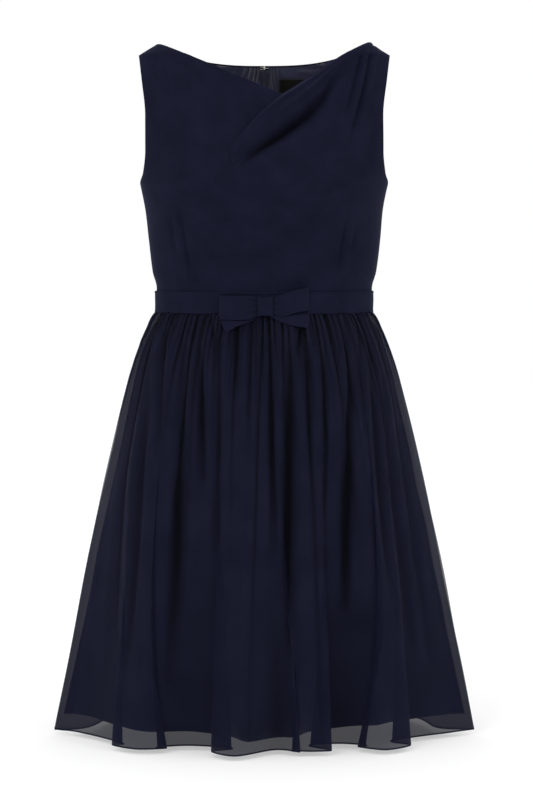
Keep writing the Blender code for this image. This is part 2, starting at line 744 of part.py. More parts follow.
def slider_and_pull(collection):
    """The slider's bridge stands on the closed zip. The pull tab hangs from it and swings up."""
    axis_point, slope = slider_place()
    lie = Matrix.Translation(axis_point) @ Matrix.Rotation(slope, 4, "X")
    length, depth, corner = SLIDER_HALF_LENGTH, SLIDER_DEPTH / 2, 0.0012
    bridge = [
        (-depth, -length), (depth - corner, -length), (depth, -length + corner),
        (depth, length - corner), (depth - corner, length), (-depth, length),
    ]
    hole_depth, hole_length = SLIDER_HOLE_HALF_DEPTH, SLIDER_HOLE_HALF_LENGTH
    hole = [
        (-hole_depth, -hole_length), (hole_depth, -hole_length),
        (hole_depth, hole_length), (-hole_depth, hole_length),
    ]
    # The outline's x and y are the slider's depth and length, so its own Z turns to X
    upright = Matrix(((0, 0, 1, 0), (1, 0, 0, 0), (0, 1, 0, 0), (0, 0, 0, 1)))
    plate("zip_slider", (bridge, hole), 2 * SLIDER_HALF_WIDTH, lie @ upright, collection, SILVER, 0.3, 1.0)

    rounding = PULL_HALF_WIDTH
    end = -PULL_LENGTH + rounding
    tab = [(-PULL_NECK_HALF_WIDTH, PULL_BAR_HALF)]
    tab += arc(0, end, rounding, 180, 360, 10)
    tab += [(PULL_NECK_HALF_WIDTH, PULL_BAR_HALF)]
    window_x, window_end = PULL_WINDOW_HALF_WIDTH, -PULL_WINDOW_END
    window = [
        (-window_x, -PULL_BAR_HALF), (-window_x, window_end),
        (window_x, window_end), (window_x, -PULL_BAR_HALF),
    ]
    # The outline's x and y are the tab's width and length, so its own Z turns to -Y
    facing = Matrix(((1, 0, 0, 0), (0, 0, -1, 0), (0, 1, 0, 0), (0, 0, 0, 1)))
    plate("zip_pull", (tab, window), PULL_THICKNESS, lie @ facing, collection, SILVER, 0.3, 1.0)


def wire(name, points, collection):
    curve = bpy.data.curves.new(name + "_line", "CURVE")
    curve.dimensions = "3D"
    curve.bevel_depth = WIRE
    curve.bevel_resolution = 1
    curve.use_fill_caps = True
    spline = curve.splines.new("POLY")
    spline.points.add(len(points) - 1)
    for point, place in zip(spline.points, points):
        point.co = (*place, 1)
    add_object(name, curve, collection, SILVER, 0.3, 1.0)


def hook_and_eye(collection):
    """A bent wire eye on the right half of the neck edge, and the flat hook that holds it."""
    y = middle_back_y(HOOK_Z) - HOOK_INSET
    loop = arc(-0.0003, HOOK_Z, EYE_RADIUS, 70, -70, 8)
    eye = [Vector((-0.0058, y, HOOK_Z + EYE_LEG_START)), Vector((-0.0030, y, HOOK_Z + EYE_LEG_END))]
    eye += [Vector((x, y, z)) for x, z in loop]
    eye += [Vector((-0.0030, y, HOOK_Z - EYE_LEG_END)), Vector((-0.0058, y, HOOK_Z - EYE_LEG_START))]
    wire("neck_eye", eye, collection)
    bend = arc(-0.0006, 0, HOOK_REACH, 90, 270, 6)
    hook = [Vector((0.0020, y + HOOK_REACH, HOOK_Z))]
    hook += [Vector((x, y + across, HOOK_Z)) for x, across in bend]
    hook += [Vector((0.0030, y - HOOK_REACH, HOOK_Z)), Vector((0.0060, y - HOOK_REACH, HOOK_Z))]
    wire("neck_hook", hook, collection)


def build():
    remove_everything()
    dress = bpy.data.collections.new("a_line_dress")
    bpy.context.scene.collection.children.link(dress)
    bodice(dress)
    drape(dress)
    back_lining(dress)
    label(dress)
    zip_closure(dress)
    slider_and_pull(dress)
    hook_and_eye(dress)
    belt(dress)
    bow_loop("bow_loop_left", LEFT_LOOP, 1, dress)
    bow_loop("bow_loop_right", RIGHT_LOOP, -1, dress)
    bow_tail("bow_tail_left", LEFT_TAIL, 1, dress)
    bow_tail("bow_tail_right", RIGHT_TAIL, -1, dress)
    bow_knot(dress)
    skirt(dress)


build()
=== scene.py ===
"""The looks of a sleeveless a-line dress of navy chiffon with a draped V neck, a belt with a bow
and a gathered skirt over a lining. Metres, +Z up, the front looks along -Y."""

import math

import bmesh
import bpy
import numpy as np
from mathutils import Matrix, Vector


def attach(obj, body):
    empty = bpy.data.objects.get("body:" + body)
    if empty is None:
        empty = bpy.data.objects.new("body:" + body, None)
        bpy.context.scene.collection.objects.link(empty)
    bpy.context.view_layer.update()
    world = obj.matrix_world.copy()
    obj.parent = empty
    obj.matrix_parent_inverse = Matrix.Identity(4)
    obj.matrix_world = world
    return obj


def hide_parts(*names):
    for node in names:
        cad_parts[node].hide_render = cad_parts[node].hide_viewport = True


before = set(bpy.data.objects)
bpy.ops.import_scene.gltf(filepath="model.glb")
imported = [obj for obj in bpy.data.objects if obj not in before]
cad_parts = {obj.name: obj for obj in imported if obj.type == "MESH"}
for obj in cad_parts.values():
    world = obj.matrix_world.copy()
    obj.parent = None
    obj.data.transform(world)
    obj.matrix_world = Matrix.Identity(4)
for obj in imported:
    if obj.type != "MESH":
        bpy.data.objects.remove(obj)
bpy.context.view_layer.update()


# ---------------------------------------------------------------------------------------------
# Bodice front. One panel of chiffon mounted on a closer cloth and sewn as one, cut to a V neck
# that is off centre and to the armholes. Waist darts and two tucks from the left shoulder shape
# it, so it lies smooth with only a few soft pulls.

CLOTH = 0.0012
SHOULDER_TIP = -0.0166
UNDERARM = -0.188
WAIST_SEAM = -0.3465
SHOULDER_NECK_X = 0.1410
SHOULDER_TIP_X = 0.1683
V_POINT_X = 0.0267
V_POINT_Z = -0.0740
LEFT_NECK_BOW = -0.0010
TOP_FRONT_DEPTH = 0.0520
TOP_BACK_DEPTH = 0.0560
BUST_X = 0.0720
BUST_HEIGHT = -0.2000
BUST_WIDTH = 0.0420
BUST_RISE = 0.0060
EDGE_ROLL = 0.0016
UNEVEN = 0.0006
# The most that painted shade darkens the cloth in a fold
DARKEST_PAINTED_SHADE = 0.95

BODICE_COLUMNS = ("height", "ring", "edge", "front", "back")
BODICE_FORM = (
    (SHOULDER_TIP, 0.1683, 0.1683, 0.0620, 0.0640),
    (-0.050, 0.1780, 0.1637, 0.0820, 0.0760),
    (-0.100, 0.1820, 0.1583, 0.1030, 0.0930),
    (-0.145, 0.1760, 0.1583, 0.1190, 0.1020),
    (-0.175, 0.1695, 0.1618, 0.1270, 0.1040),
    (UNDERARM, 0.1665, 0.1665, 0.1290, 0.1030),
    (-0.227, 0.1590, 0.1590, 0.1240, 0.1000),
    (-0.262, 0.1557, 0.1557, 0.1120, 0.0970),
    (-0.306, 0.1505, 0.1505, 0.1000, 0.0950),
    (-0.328, 0.1449, 0.1449, 0.0970, 0.0950),
    (WAIST_SEAM, 0.1449, 0.1449, 0.0970, 0.0950),
)
# Shares of the way down a panel that pass through the shoulder tip and the underarm on its edge
BODICE_ROWS = (
    0.0, 0.004, 0.010, 0.020, 0.048, 0.065, 0.12, 0.22, 0.34, 0.45, 0.522, 0.5426, 0.62, 0.72,
    0.83, 0.946, 1.0,
)
# Creases seen from the front. Their columns are x and z where each begins, x and z where it ends,
# how far its middle bows sideways, its half width, and its rise, which is negative for a trough.
FRONT_CREASES = (
    (0.1345, 0.0100, 0.1050, -0.1080, -0.0020, 0.0034, -0.0034),  # first shoulder tuck
    (0.1400, 0.0100, 0.1120, -0.1120, -0.0020, 0.0046, 0.0030),  # the ridge beside it
    (0.1450, 0.0080, 0.1100, -0.1420, -0.0030, 0.0032, -0.0038),  # second shoulder tuck
    (0.1500, 0.0050, 0.1190, -0.1300, -0.0030, 0.0050, 0.0026),
    (0.1440, -0.1080, 0.1330, -0.1650, 0.0, 0.0050, -0.0010),
    (0.1500, -0.1180, 0.1420, -0.1750, 0.0, 0.0050, 0.0009),
    (-0.1440, -0.0240, -0.1360, -0.0640, 0.0015, 0.0040, -0.0012),
    (-0.1390, -0.0280, -0.1300, -0.0900, 0.0015, 0.0060, 0.0012),
    (-0.1330, -0.0350, -0.1220, -0.0800, 0.0, 0.0060, -0.0008),
    (-0.1110, -0.2270, -0.0960, -0.3160, 0.0010, 0.0030, -0.0026),  # right front dart
    (-0.1240, -0.2280, -0.1180, -0.2860, 0.0, 0.0036, -0.0014),
    (-0.1160, -0.2330, -0.1060, -0.3050, 0.0, 0.0060, 0.0014),
    (0.1090, -0.2240, 0.0960, -0.3120, -0.0010, 0.0030, -0.0026),  # left front dart
    (0.1220, -0.2380, 0.1130, -0.2900, 0.0, 0.0036, -0.0016),
    (0.1150, -0.2330, 0.1050, -0.3050, 0.0, 0.0060, 0.0014),
    (-0.0107, -0.2150, -0.0165, -0.3150, 0.0, 0.0080, -0.0011),
    (0.0150, -0.2400, 0.0180, -0.3300, 0.0, 0.0100, -0.0007),
    (-0.0500, -0.2600, -0.0460, -0.3350, 0.0, 0.0110, -0.0007),
    (0.0600, -0.2650, 0.0560, -0.3350, 0.0, 0.0110, -0.0007),
    (-0.0400, -0.1560, -0.0640, -0.1860, 0.0, 0.0060, -0.0012),
    (-0.1620, -0.1830, -0.1250, -0.1900, 0.0, 0.0050, -0.0012),  # pulls from the underarms
    (0.1620, -0.1830, 0.1250, -0.1920, 0.0, 0.0050, -0.0012),
)
# The hollow that runs under the lower edge of the drape. Its columns are the x and z of its line,
# its half width, its depth, and how dark its painted shade is.
FRONT_HOLLOW = (
    (0.1300, -0.0180, 0.0040, 0.0, 0.0),
    (0.1060, -0.0350, 0.0045, 0.0015, 0.10),
    (0.0900, -0.0560, 0.0050, 0.0035, 0.35),
    (0.0760, -0.0800, 0.0060, 0.0060, 0.62),
    (0.0570, -0.1005, 0.0070, 0.0085, 0.85),
    (0.0360, -0.1165, 0.0070, 0.0090, 0.95),
    (0.0170, -0.1300, 0.0068, 0.0075, 0.95),
    (-0.0040, -0.1435, 0.0065, 0.0050, 0.75),
    (-0.0200, -0.1560, 0.0060, 0.0028, 0.35),
    (-0.0340, -0.1700, 0.0060, 0.0, 0.0),
)
HOLLOW_STEPS = 140
NECK_HALVINGS = 40
PANEL_HEIGHT = 0.3
WAVES = 9
WAVE_BAND = 0.314
NAVY = "#0f1120"
NAVY_LIGHT = "#17192b"
# The colour that painted shade darkens the cloth towards in its folds
PAINTED_FOLD_SHADE = "#030308"


def monotone(table, columns, name, at):
    """One column of a table at any heights, as a smooth curve that never overshoots a row."""
    order = sorted(table, key=lambda row: row[0])
    x = np.array([row[0] for row in order])
    y = np.array([row[columns.index(name)] for row in order])
    step = np.diff(x)
    rise = np.diff(y) / step
    slope = np.zeros(len(x))
    slope[0], slope[-1] = rise[0], rise[-1]
    before, after = 2 * step[1:] + step[:-1], step[1:] + 2 * step[:-1]
    turning = rise[:-1] * rise[1:] <= 0
    safe = np.where(turning, 1.0, rise[:-1]), np.where(turning, 1.0, rise[1:])
    slope[1:-1] = np.where(turning, 0.0, (before + after) / (before / safe[0] + after / safe[1]))
    at = np.clip(at, x[0], x[-1])
    i = np.clip(np.searchsorted(x, at) - 1, 0, len(x) - 2)
    span = x[i + 1] - x[i]
    t = (at - x[i]) / span
    return (
        y[i] * (1 + 2 * t) * (1 - t) ** 2 + slope[i] * span * t * (1 - t) ** 2
        + y[i + 1] * t * t * (3 - 2 * t) + slope[i + 1] * span * t * t * (t - 1)
    )


def ring_half_width(z):
    shoulder = SHOULDER_NECK_X + (SHOULDER_TIP_X - SHOULDER_NECK_X) * z / SHOULDER_TIP
    return np.where(z > SHOULDER_TIP, shoulder, monotone(BODICE_FORM, BODICE_COLUMNS, "ring", z))


def ring_depth(z, side):
    """Depth of the ring before (side -1) or behind (side +1) the side seams."""
    name, top = ("front", TOP_FRONT_DEPTH) if side < 0 else ("back", TOP_BACK_DEPTH)
    below = monotone(BODICE_FORM, BODICE_COLUMNS, name, z)
    tip = monotone(BODICE_FORM, BODICE_COLUMNS, name, SHOULDER_TIP)
    return np.where(z > SHOULDER_TIP, top + (tip - top) * z / SHOULDER_TIP, below)


def edge_angle(z):
    """How far round the ring the shoulder seam, armhole edge or side seam is."""
    edge = monotone(BODICE_FORM, BODICE_COLUMNS, "edge", z)
    ring = ring_half_width(z)
    edge = np.where((z > SHOULDER_TIP) | (z < UNDERARM), ring, edge)
    return np.arcsin(np.minimum(edge / ring, 1))


def body_at_x(x, z, side):
    """The bodice surface straight ahead of, or behind, places (x, z) of the front view."""
    x, z = np.broadcast_arrays(np.asarray(x, float), np.asarray(z, float))
    inside = np.maximum(1 - (x / ring_half_width(z)) ** 2, 0)
    y = ring_depth(z, side) * np.sqrt(inside)
    if side < 0:
        across = sum(np.exp(-(((x - s * BUST_X) / BUST_WIDTH) ** 2)) for s in (-1, 1))
        y = y + BUST_RISE * across * np.exp(-(((z - BUST_HEIGHT) / BUST_WIDTH) ** 2)) * inside
    return np.stack((x, side * y, z), axis=-1)


def front_neck_z(x):
    along = (x - V_POINT_X) / (SHOULDER_NECK_X - V_POINT_X)
    left = V_POINT_Z * (1 - along) + LEFT_NECK_BOW * np.sin(math.pi * along)
    right = V_POINT_Z * (x + SHOULDER_NECK_X) / (V_POINT_X + SHOULDER_NECK_X)
    return np.where(x <= V_POINT_X, right, left)


def bodice_grid(across, side, neck_z, neck_drop=0.0, row_step=0.0026):
    """Points of a bodice panel. Across, 0 is the middle and 1 and -1 the armhole or side seam.

    Each column's top, where it meets the neckline, is found by halving.
    """
    low, high = np.full(len(across), V_POINT_Z - 0.01), np.zeros(len(across))
    for _ in range(NECK_HALVINGS):
        z = (low + high) / 2
        under = z < neck_z(ring_half_width(z) * np.sin(across * edge_angle(z)))
        low, high = np.where(under, z, low), np.where(under, high, z)
    top = low - neck_drop
    down = fill_between(BODICE_ROWS, row_step / PANEL_HEIGHT)[:, None]
    z = top + (WAIST_SEAM - top) * down
    return body_at_x(ring_half_width(z) * np.sin(across * edge_angle(z)), z, side)


def fill_between(stops, step):
    """The same rising numbers, with more put evenly between them until none is a step apart."""
    parts = [np.linspace(a, b, math.ceil((b - a) / step) + 1)[:-1] for a, b in zip(stops, stops[1:])]
    return np.concatenate((*parts, stops[-1:]))


def outward(points):
    """Unit normals of a grid of points whose rows run down and whose columns face outwards."""
    normal = np.cross(np.gradient(points, axis=0), np.gradient(points, axis=1))
    return normal / np.maximum(np.linalg.norm(normal, axis=-1, keepdims=True), 1e-12)


def moved(points, distance):
    distance = np.broadcast_to(distance, points.shape[:2])
    return points + outward(points) * distance[..., None]


def along(points, axis):
    """Distance along each row (axis 1) or column (axis 0) of a grid, from its first point."""
    steps = np.linalg.norm(np.diff(points, axis=axis), axis=-1)
    start = np.zeros_like(np.take(steps, [0], axis=axis))
    return np.cumsum(np.concatenate((start, steps), axis=axis), axis=axis)


def rolled_in(distance, roll):
    """How far a turned edge of the cloth curves inwards, by distance from the edge."""
    left = np.clip(1 - distance / roll, 0, 1)
    return roll * (1 - np.sqrt(1 - left * left))


def hollows(points, sizes):
    """How far each point lies below the cloth beside it in its row, from 0 to 1.

    sizes holds pairs: how many columns away the cloth beside it is, and the depth that counts as 1.
    """
    total = np.zeros(points.shape[:2])
    for reach, depth in sizes:
        wide = np.pad(points, ((0, 0), (reach, reach), (0, 0)), mode="edge")
        beside = (wide[:, :-2 * reach] + wide[:, 2 * reach:]) / 2
        total += np.clip(((beside - points) * outward(points)).sum(axis=-1) / depth, 0, 1)
    return np.clip(total, 0, 1)


def creases(x, z, table):
    """Height of listed creases at places of the front view."""
    height = np.zeros(np.broadcast(x, z).shape)
    for from_x, from_z, to_x, to_z, bow, width, rise in table:
        run_x, run_z = to_x - from_x, to_z - from_z
        length = math.hypot(run_x, run_z)
        share = np.clip(((x - from_x) * run_x + (z - from_z) * run_z) / length**2, 0, 1)
        off = ((x - from_x) * run_z - (z - from_z) * run_x) / length - bow * np.sin(math.pi * share)
        height += rise * np.exp(-((off / width) ** 2)) * np.sin(math.pi * share) ** 0.7
    return height


def hollow_line(x, z):
    """The depth of the hollow under the drape, and the painted shade in it, at places of the front view."""
    table = np.array(FRONT_HOLLOW)
    rows = np.arange(len(table))
    line = np.stack([np.interp(np.linspace(0, rows[-1], HOLLOW_STEPS), rows, column) for column in table.T])
    gap = np.hypot(x[..., None] - line[0], z[..., None] - line[1])
    nearest = gap.argmin(axis=-1)
    off = gap.min(axis=-1) / line[2][nearest]
    return line[3][nearest] * np.exp(-(off**2)), line[4][nearest] * np.exp(-((off * 1.3) ** 2))


def waviness(x, z, size, seed):
    """A soft, even unevenness between -1 and 1, with humps about as wide as size."""
    chance = np.random.default_rng(seed)
    total = np.zeros(np.broadcast(x, z).shape)
    for _ in range(WAVES):
        turn, phase, scale = chance.uniform(0, math.pi), chance.uniform(0, 6.28), chance.uniform(0.7, 1.5)
        total += np.sin((x * math.cos(turn) + z * math.sin(turn)) * math.pi / (size * scale) + phase)
    return total * 2 / WAVES


def colour(code):
    """An sRGB hex value as linear RGBA."""
    parts = [int(code[i:i + 2], 16) / 255 for i in (1, 3, 5)]
    return (*[p / 12.92 if p <= 0.04045 else ((p + 0.055) / 1.055) ** 2.4 for p in parts], 1.0)


def put(name, data):
    """An object made of a mesh, a light or a camera, put in the scene."""
    thing = bpy.data.objects.new(name, data)
    bpy.context.scene.collection.objects.link(thing)
    return thing


def finish(name, **surface):
    """A material with the shader's whole-surface values, its node tree and its shader."""
    material = bpy.data.materials.new(name)
    material.use_nodes = True
    shader = material.node_tree.nodes["Principled BSDF"]
    for key, value in surface.items():
        shader.inputs[key.replace("_", " ")].default_value = value
    return material, material.node_tree, shader


def add(tree, kind, inputs=None, **settings):
    """Adds a node with its settings, and its inputs by name or number: values or sockets to link."""
    node = tree.nodes.new(kind)
    for name, value in settings.items():
        setattr(node, name, value)
    for name, value in (inputs or {}).items():
        if isinstance(value, bpy.types.NodeSocket):
            tree.links.new(value, node.inputs[name])
        else:
            node.inputs[name].default_value = value
    return node


def woven_cloth(name, shade, light, thread, relief, rough, **surface):
    """A woven cloth: warp and weft, uneven threads that catch the light, soft changes of tone, and painted
    shade in its folds.

    thread is the spacing of the threads and relief the height of the weave, in metres, and rough
    the middle of the roughness. surface holds the shader's own whole-surface values.
    """
    material, tree, shader = finish(name, **surface)
    cut = add(tree, "ShaderNodeUVMap", uv_map="cut")
    # A wave texture of scale 1 has a band every WAVE_BAND of its vector's units
    bands = {"Scale": WAVE_BAND / thread, "Distortion": 0.6, "Detail": 1.0, "Detail Scale": 1.5}
    vector = {"Vector": cut.outputs["UV"]}
    warp = add(tree, "ShaderNodeTexWave", {**bands, **vector}, bands_direction="X")
    weft = add(tree, "ShaderNodeTexWave", {**bands, **vector}, bands_direction="Y")
    weave = add(tree, "ShaderNodeMath", {0: warp.outputs["Fac"], 1: weft.outputs["Fac"]}, operation="ADD")
    slub = add(tree, "ShaderNodeTexNoise", {**vector, "Scale": 0.35 / thread, "Detail": 3.0})
    height = add(tree, "ShaderNodeMath", {0: weave.outputs[0], 1: slub.outputs["Fac"]}, operation="ADD")
    bump = add(tree, "ShaderNodeBump", {"Strength": 0.6, "Distance": relief, "Height": height.outputs[0]})
    tone = add(tree, "ShaderNodeTexNoise", {**vector, "Scale": 22.0, "Detail": 4.0, "Roughness": 0.6})
    both = add(
        tree, "ShaderNodeMath", {0: slub.outputs["Fac"], 1: 0.45, 2: tone.outputs["Fac"]},
        operation="MULTIPLY_ADD",
    )
    spread = add(
        tree, "ShaderNodeMapRange",
        {"Value": both.outputs[0], "From Min": 0.45, "From Max": 1.0, "To Min": 0.0, "To Max": 1.0},
    )
    tint = add(
        tree, "ShaderNodeMix",
        {"Factor": spread.outputs[0], 6: colour(shade), 7: colour(light)}, data_type="RGBA",
    )
    gloss = add(
        tree, "ShaderNodeMapRange",
        {"Value": slub.outputs["Fac"], "From Min": 0.3, "From Max": 0.7,
         "To Min": rough - 0.05, "To Max": rough + 0.05},
    )
    # Painted shade: the hollow attribute darkens the colour towards a near-black navy in the cloth's folds,
    # creases and hollows
    fold_painted_shade = add(tree, "ShaderNodeAttribute", attribute_name="hollow")
    folded = add(
        tree, "ShaderNodeMix",
        {"Factor": fold_painted_shade.outputs["Fac"], 6: tint.outputs[2], 7: colour(PAINTED_FOLD_SHADE)}, data_type="RGBA",
    )
    tree.links.new(folded.outputs[2], shader.inputs["Base Color"])
    tree.links.new(gloss.outputs[0], shader.inputs["Roughness"])
    tree.links.new(bump.outputs["Normal"], shader.inputs["Normal"])
    return material


# Polyester chiffon mounted on a closer cloth: matt, with the soft bloom of its crepe threads at
# grazing angles. Its threads are 0.15 mm apart and drawn at 0.7 mm so that they show.
CHIFFON_FINISH = {
    "shade": NAVY, "light": NAVY_LIGHT, "thread": 0.0007, "relief": 0.00004, "rough": 0.80,
    "Sheen_Weight": 0.05, "Sheen_Roughness": 0.40, "Sheen_Tint": colour("#98a2e0"), "IOR": 1.5,
    "Specular_IOR_Level": 0.03,
}
CHIFFON_ON_CLOTH = woven_cloth("polyester_chiffon_mounted", **CHIFFON_FINISH)


def panel(name, points, material, wall=0.0, close=False, hollow=None):
    """A cloth panel on a grid of points of its outer face, its UV map in metres of cloth."""
    rows, columns = points.shape[:2]
    a = (np.arange(rows - 1)[:, None] * columns + np.arange(columns - 1)).ravel()
    faces = np.stack((a, a + columns, a + columns + 1, a + 1), axis=1)
    if close:
        edge = np.arange(rows - 1) * columns
        last = edge + columns - 1
        faces = np.concatenate((faces, np.stack((last, last + columns, edge + columns, edge), axis=1)))
    mesh = bpy.data.meshes.new(name)
    mesh.from_pydata(points.reshape(-1, 3).tolist(), [], faces.tolist())
    mesh.shade_smooth()
    across, down = along(points, 1).max(axis=0), along(points, 0).max(axis=1)
    cut = np.stack(np.broadcast_arrays(across - across[-1] / 2, -down[:, None]), axis=-1).reshape(-1, 2)
    corner = np.empty(len(mesh.loops), dtype=np.int32)
    mesh.loops.foreach_get("vertex_index", corner)
    mesh.uv_layers.new(name="cut").uv.foreach_set("vector", cut[corner].astype(np.float32).ravel())
    # The hollow attribute holds how strongly painted shade darkens the cloth at each point
    if hollow is not None:
        depth = mesh.attributes.new("hollow", "FLOAT", "POINT")
        depth.data.foreach_set("value", hollow.astype(np.float32).ravel())
    mesh.materials.append(material)
    thing = put(name, mesh)
    if wall:
        shell = thing.modifiers.new("wall", "SOLIDIFY")
        shell.thickness = wall
        shell.offset = -1
    return thing


def sewn_on(piece):
    """Every cloth piece rides on the dress and stands for its own solid."""
    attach(piece, "dress")
    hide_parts(piece.name.removesuffix("_cloth"))


ends = np.array((0.0, 0.0015, 0.004, 0.009, 0.018))
front_across = np.concatenate((ends - 1, np.linspace(-0.97, 0.97, 190), 1 - ends[::-1]))
front_base = bodice_grid(front_across, -1, front_neck_z)
x, z = front_base[..., 0], front_base[..., 2]
from_side = np.minimum(along(front_base, 1), along(front_base, 1)[:, -1:] - along(front_base, 1))
armhole = np.where(z > UNDERARM, rolled_in(from_side, EDGE_ROLL), 0)
hollow_depth, hollow_painted_shade = hollow_line(x, z)
front_height = (
    creases(x, z, FRONT_CREASES) - hollow_depth + UNEVEN * waviness(x, z, 0.050, 4)
    - rolled_in(along(front_base, 0), EDGE_ROLL) - armhole
)
front_points = moved(front_base, front_height)
# Painted shade in the bodice's creases and in the hollow under the drape
shade = hollows(front_points, ((3, 0.0030),)) * 0.40 + hollow_painted_shade
shade = np.clip(shade, 0, DARKEST_PAINTED_SHADE)
bodice_front = panel("bodice_front_cloth", front_points, CHIFFON_ON_CLOTH, CLOTH, hollow=shade)
sewn_on(bodice_front)


# ---------------------------------------------------------------------------------------------
# Drape. The front's own cloth is left full along the left side of the V. It falls in one soft
# fold from the shoulder seam across the front, over the other side of the neck, and dies away.

GAP = 0.0003
DRAPE_COLUMNS = ("upper_x", "upper_z", "lower_x", "lower_z", "rise")
DRAPE = (
    (0.1410, 0.0000, 0.1475, -0.0060, 0.0004),
    (0.1040, -0.0205, 0.1060, -0.0350, 0.0022),
    (0.0740, -0.0418, 0.0900, -0.0560, 0.0050),
    (0.0530, -0.0560, 0.0760, -0.0780, 0.0085),
    (0.0350, -0.0680, 0.0570, -0.0995, 0.0110),
    (0.0215, -0.0775, 0.0360, -0.1170, 0.0110),
    (0.0080, -0.0885, 0.0170, -0.1310, 0.0090),
    (-0.0110, -0.1070, -0.0040, -0.1450, 0.0060),
    (-0.0285, -0.1275, -0.0225, -0.1570, 0.0030),
    (-0.0450, -0.1450, -0.0420, -0.1660, 0.0006),
)
# Where along the table the upper edge leaves the neckline and lies on the other side of the V
DRAPE_CROSSES = (3.6, 5.4)
DRAPE_EDGE_RADIUS = 0.0021
DRAPE_UNEVEN = 0.0003
# Soft ridges and troughs within the fold: place across it (0 is its upper edge), half width,
# rise, and the shares of its length between which it shows
DRAPE_FOLDS = (
    (0.26, 0.09, -0.0026, 0.05, 0.75),
    (0.45, 0.06, 0.0030, 0.15, 0.72),
    (0.60, 0.06, -0.0022, 0.10, 0.60),
    (0.13, 0.05, 0.0014, 0.30, 0.95),
)


def through_rows(table, columns, name, place):
    """A column's value at places along a table, as a smooth curve through its rows."""
    values = np.array([row[columns.index(name)] for row in table])
    padded = np.concatenate(([2 * values[0] - values[1]], values, [2 * values[-1] - values[-2]]))
    i = np.minimum(np.floor(place).astype(int), len(values) - 2)
    t = place - i
    before, a, b, after = (padded[i + k] for k in range(4))
    return 0.5 * (
        2 * a + (b - before) * t + (2 * before - 5 * a + 4 * b - after) * t * t
        + (3 * a - before - 3 * b + after) * t**3
    )


def smooth_step(value, first, last):
    t = np.clip((value - first) / (last - first), 0, 1)
    return t * t * (3 - 2 * t)


length_share = np.linspace(1, 0, 150)[None, :]
across_share = np.concatenate((np.linspace(0, 0.9, 34), np.linspace(0.92, 1, 6)))[:, None]
place = length_share * (len(DRAPE) - 1)
at = {n: through_rows(DRAPE, DRAPE_COLUMNS, n, place) for n in DRAPE_COLUMNS}
x = at["upper_x"] + (at["lower_x"] - at["upper_x"]) * across_share
z = at["upper_z"] + (at["lower_z"] - at["upper_z"]) * across_share
on_front = smooth_step(place, *DRAPE_CROSSES)
die = smooth_step(length_share, 1.0, 0.86)
rolled = DRAPE_EDGE_RADIUS * (0.3 + 0.7 * die)
roll_height = -CLOTH / 2 + on_front * (CLOTH / 2 + GAP + rolled)
swell = (1 - np.exp(-across_share / 0.10)) * (1 - smooth_step(across_share, 0.45, 1.0))
stand = (roll_height + rolled) * (1 - smooth_step(across_share, 0.3, 1.0))
stand = stand - CLOTH / 2 * smooth_step(across_share, 0.3, 1.0) + at["rise"] * swell
for middle, width, rise, first, last in DRAPE_FOLDS:
    shown = np.clip(np.sin(math.pi * np.clip((length_share - first) / (last - first), 0, 1)), 0, 1)
    stand = stand + rise * np.exp(-(((across_share - middle) / width) ** 2)) * shown
hollow_depth, hollow_painted_shade = hollow_line(x, z)
stand = stand - hollow_depth * smooth_step(across_share, 0.5, 0.9)
drape_base = body_at_x(x, z, -1)
soft = DRAPE_UNEVEN * waviness(x, z, 0.018, 8) * smooth_step(across_share, 0, 0.3)
drape_points = moved(drape_base, stand + soft)
# The upper edge turns over the neck edge, and past the point of the V it turns under itself
out, away = outward(drape_base)[0], drape_base[0] - drape_base[1]
away /= np.linalg.norm(away, axis=-1, keepdims=True)
turns = np.radians(np.arange(200, 0, -20))[:, None, None]
rim = drape_base[0] + out * roll_height[0][:, None]
turned = rim + rolled[0][:, None] * (out * np.cos(turns) + away * np.sin(turns))
drape_points = np.concatenate((turned, drape_points))
# Painted shade on the drape: darker towards its lower edge, where it rolls into the hollow, and in its own
# hollows
painted_shade_here = np.interp(place, np.arange(len(FRONT_HOLLOW)), [row[-1] for row in FRONT_HOLLOW])
shade = smooth_step(across_share, 0.66, 1.0) ** 1.3 * painted_shade_here * 0.9
shade = shade + hollows(drape_points, ((6, 0.004),))[len(turned):] * 0.5
shade = np.concatenate((np.zeros((len(turned), place.shape[1])), np.clip(shade, 0, DARKEST_PAINTED_SHADE)))
bodice_drape = panel("bodice_drape_cloth", drape_points, CHIFFON_ON_CLOTH, CLOTH, hollow=shade)
sewn_on(bodice_drape)


# ---------------------------------------------------------------------------------------------
# Bodice back. Two halves of the same mounted chiffon, each with a waist dart, which meet at the
# concealed zip. The shallow neck, the armholes and the zip edges are turned in.

BACK_NECK_Z = -0.0248
BACK_NECK_POWER = 2.9
ZIP_EDGE_ROLL = 0.0011
BACK_CREASES = (
    (0.0700, -0.1700, 0.0640, -0.3600, 0.0, 0.0026, -0.0024),  # dart
    (0.0740, -0.1900, 0.0690, -0.3400, 0.0, 0.0060, 0.0008),
    (0.1500, -0.1750, 0.1000, -0.2050, 0.0, 0.0080, -0.0014),
    (0.1450, -0.2000, 0.0950, -0.2350, 0.0020, 0.0090, -0.0010),
    (0.0250, -0.2700, 0.0900, -0.3000, 0.0020, 0.0080, -0.0014),
    (0.0150, -0.2900, 0.0650, -0.3250, 0.0020, 0.0060, -0.0012),
    (0.1380, -0.0250, 0.1250, -0.0850, 0.0020, 0.0070, -0.0012),
)


def back_neck_z(x):
    return BACK_NECK_Z * (1 - np.abs(x / SHOULDER_NECK_X) ** BACK_NECK_POWER)


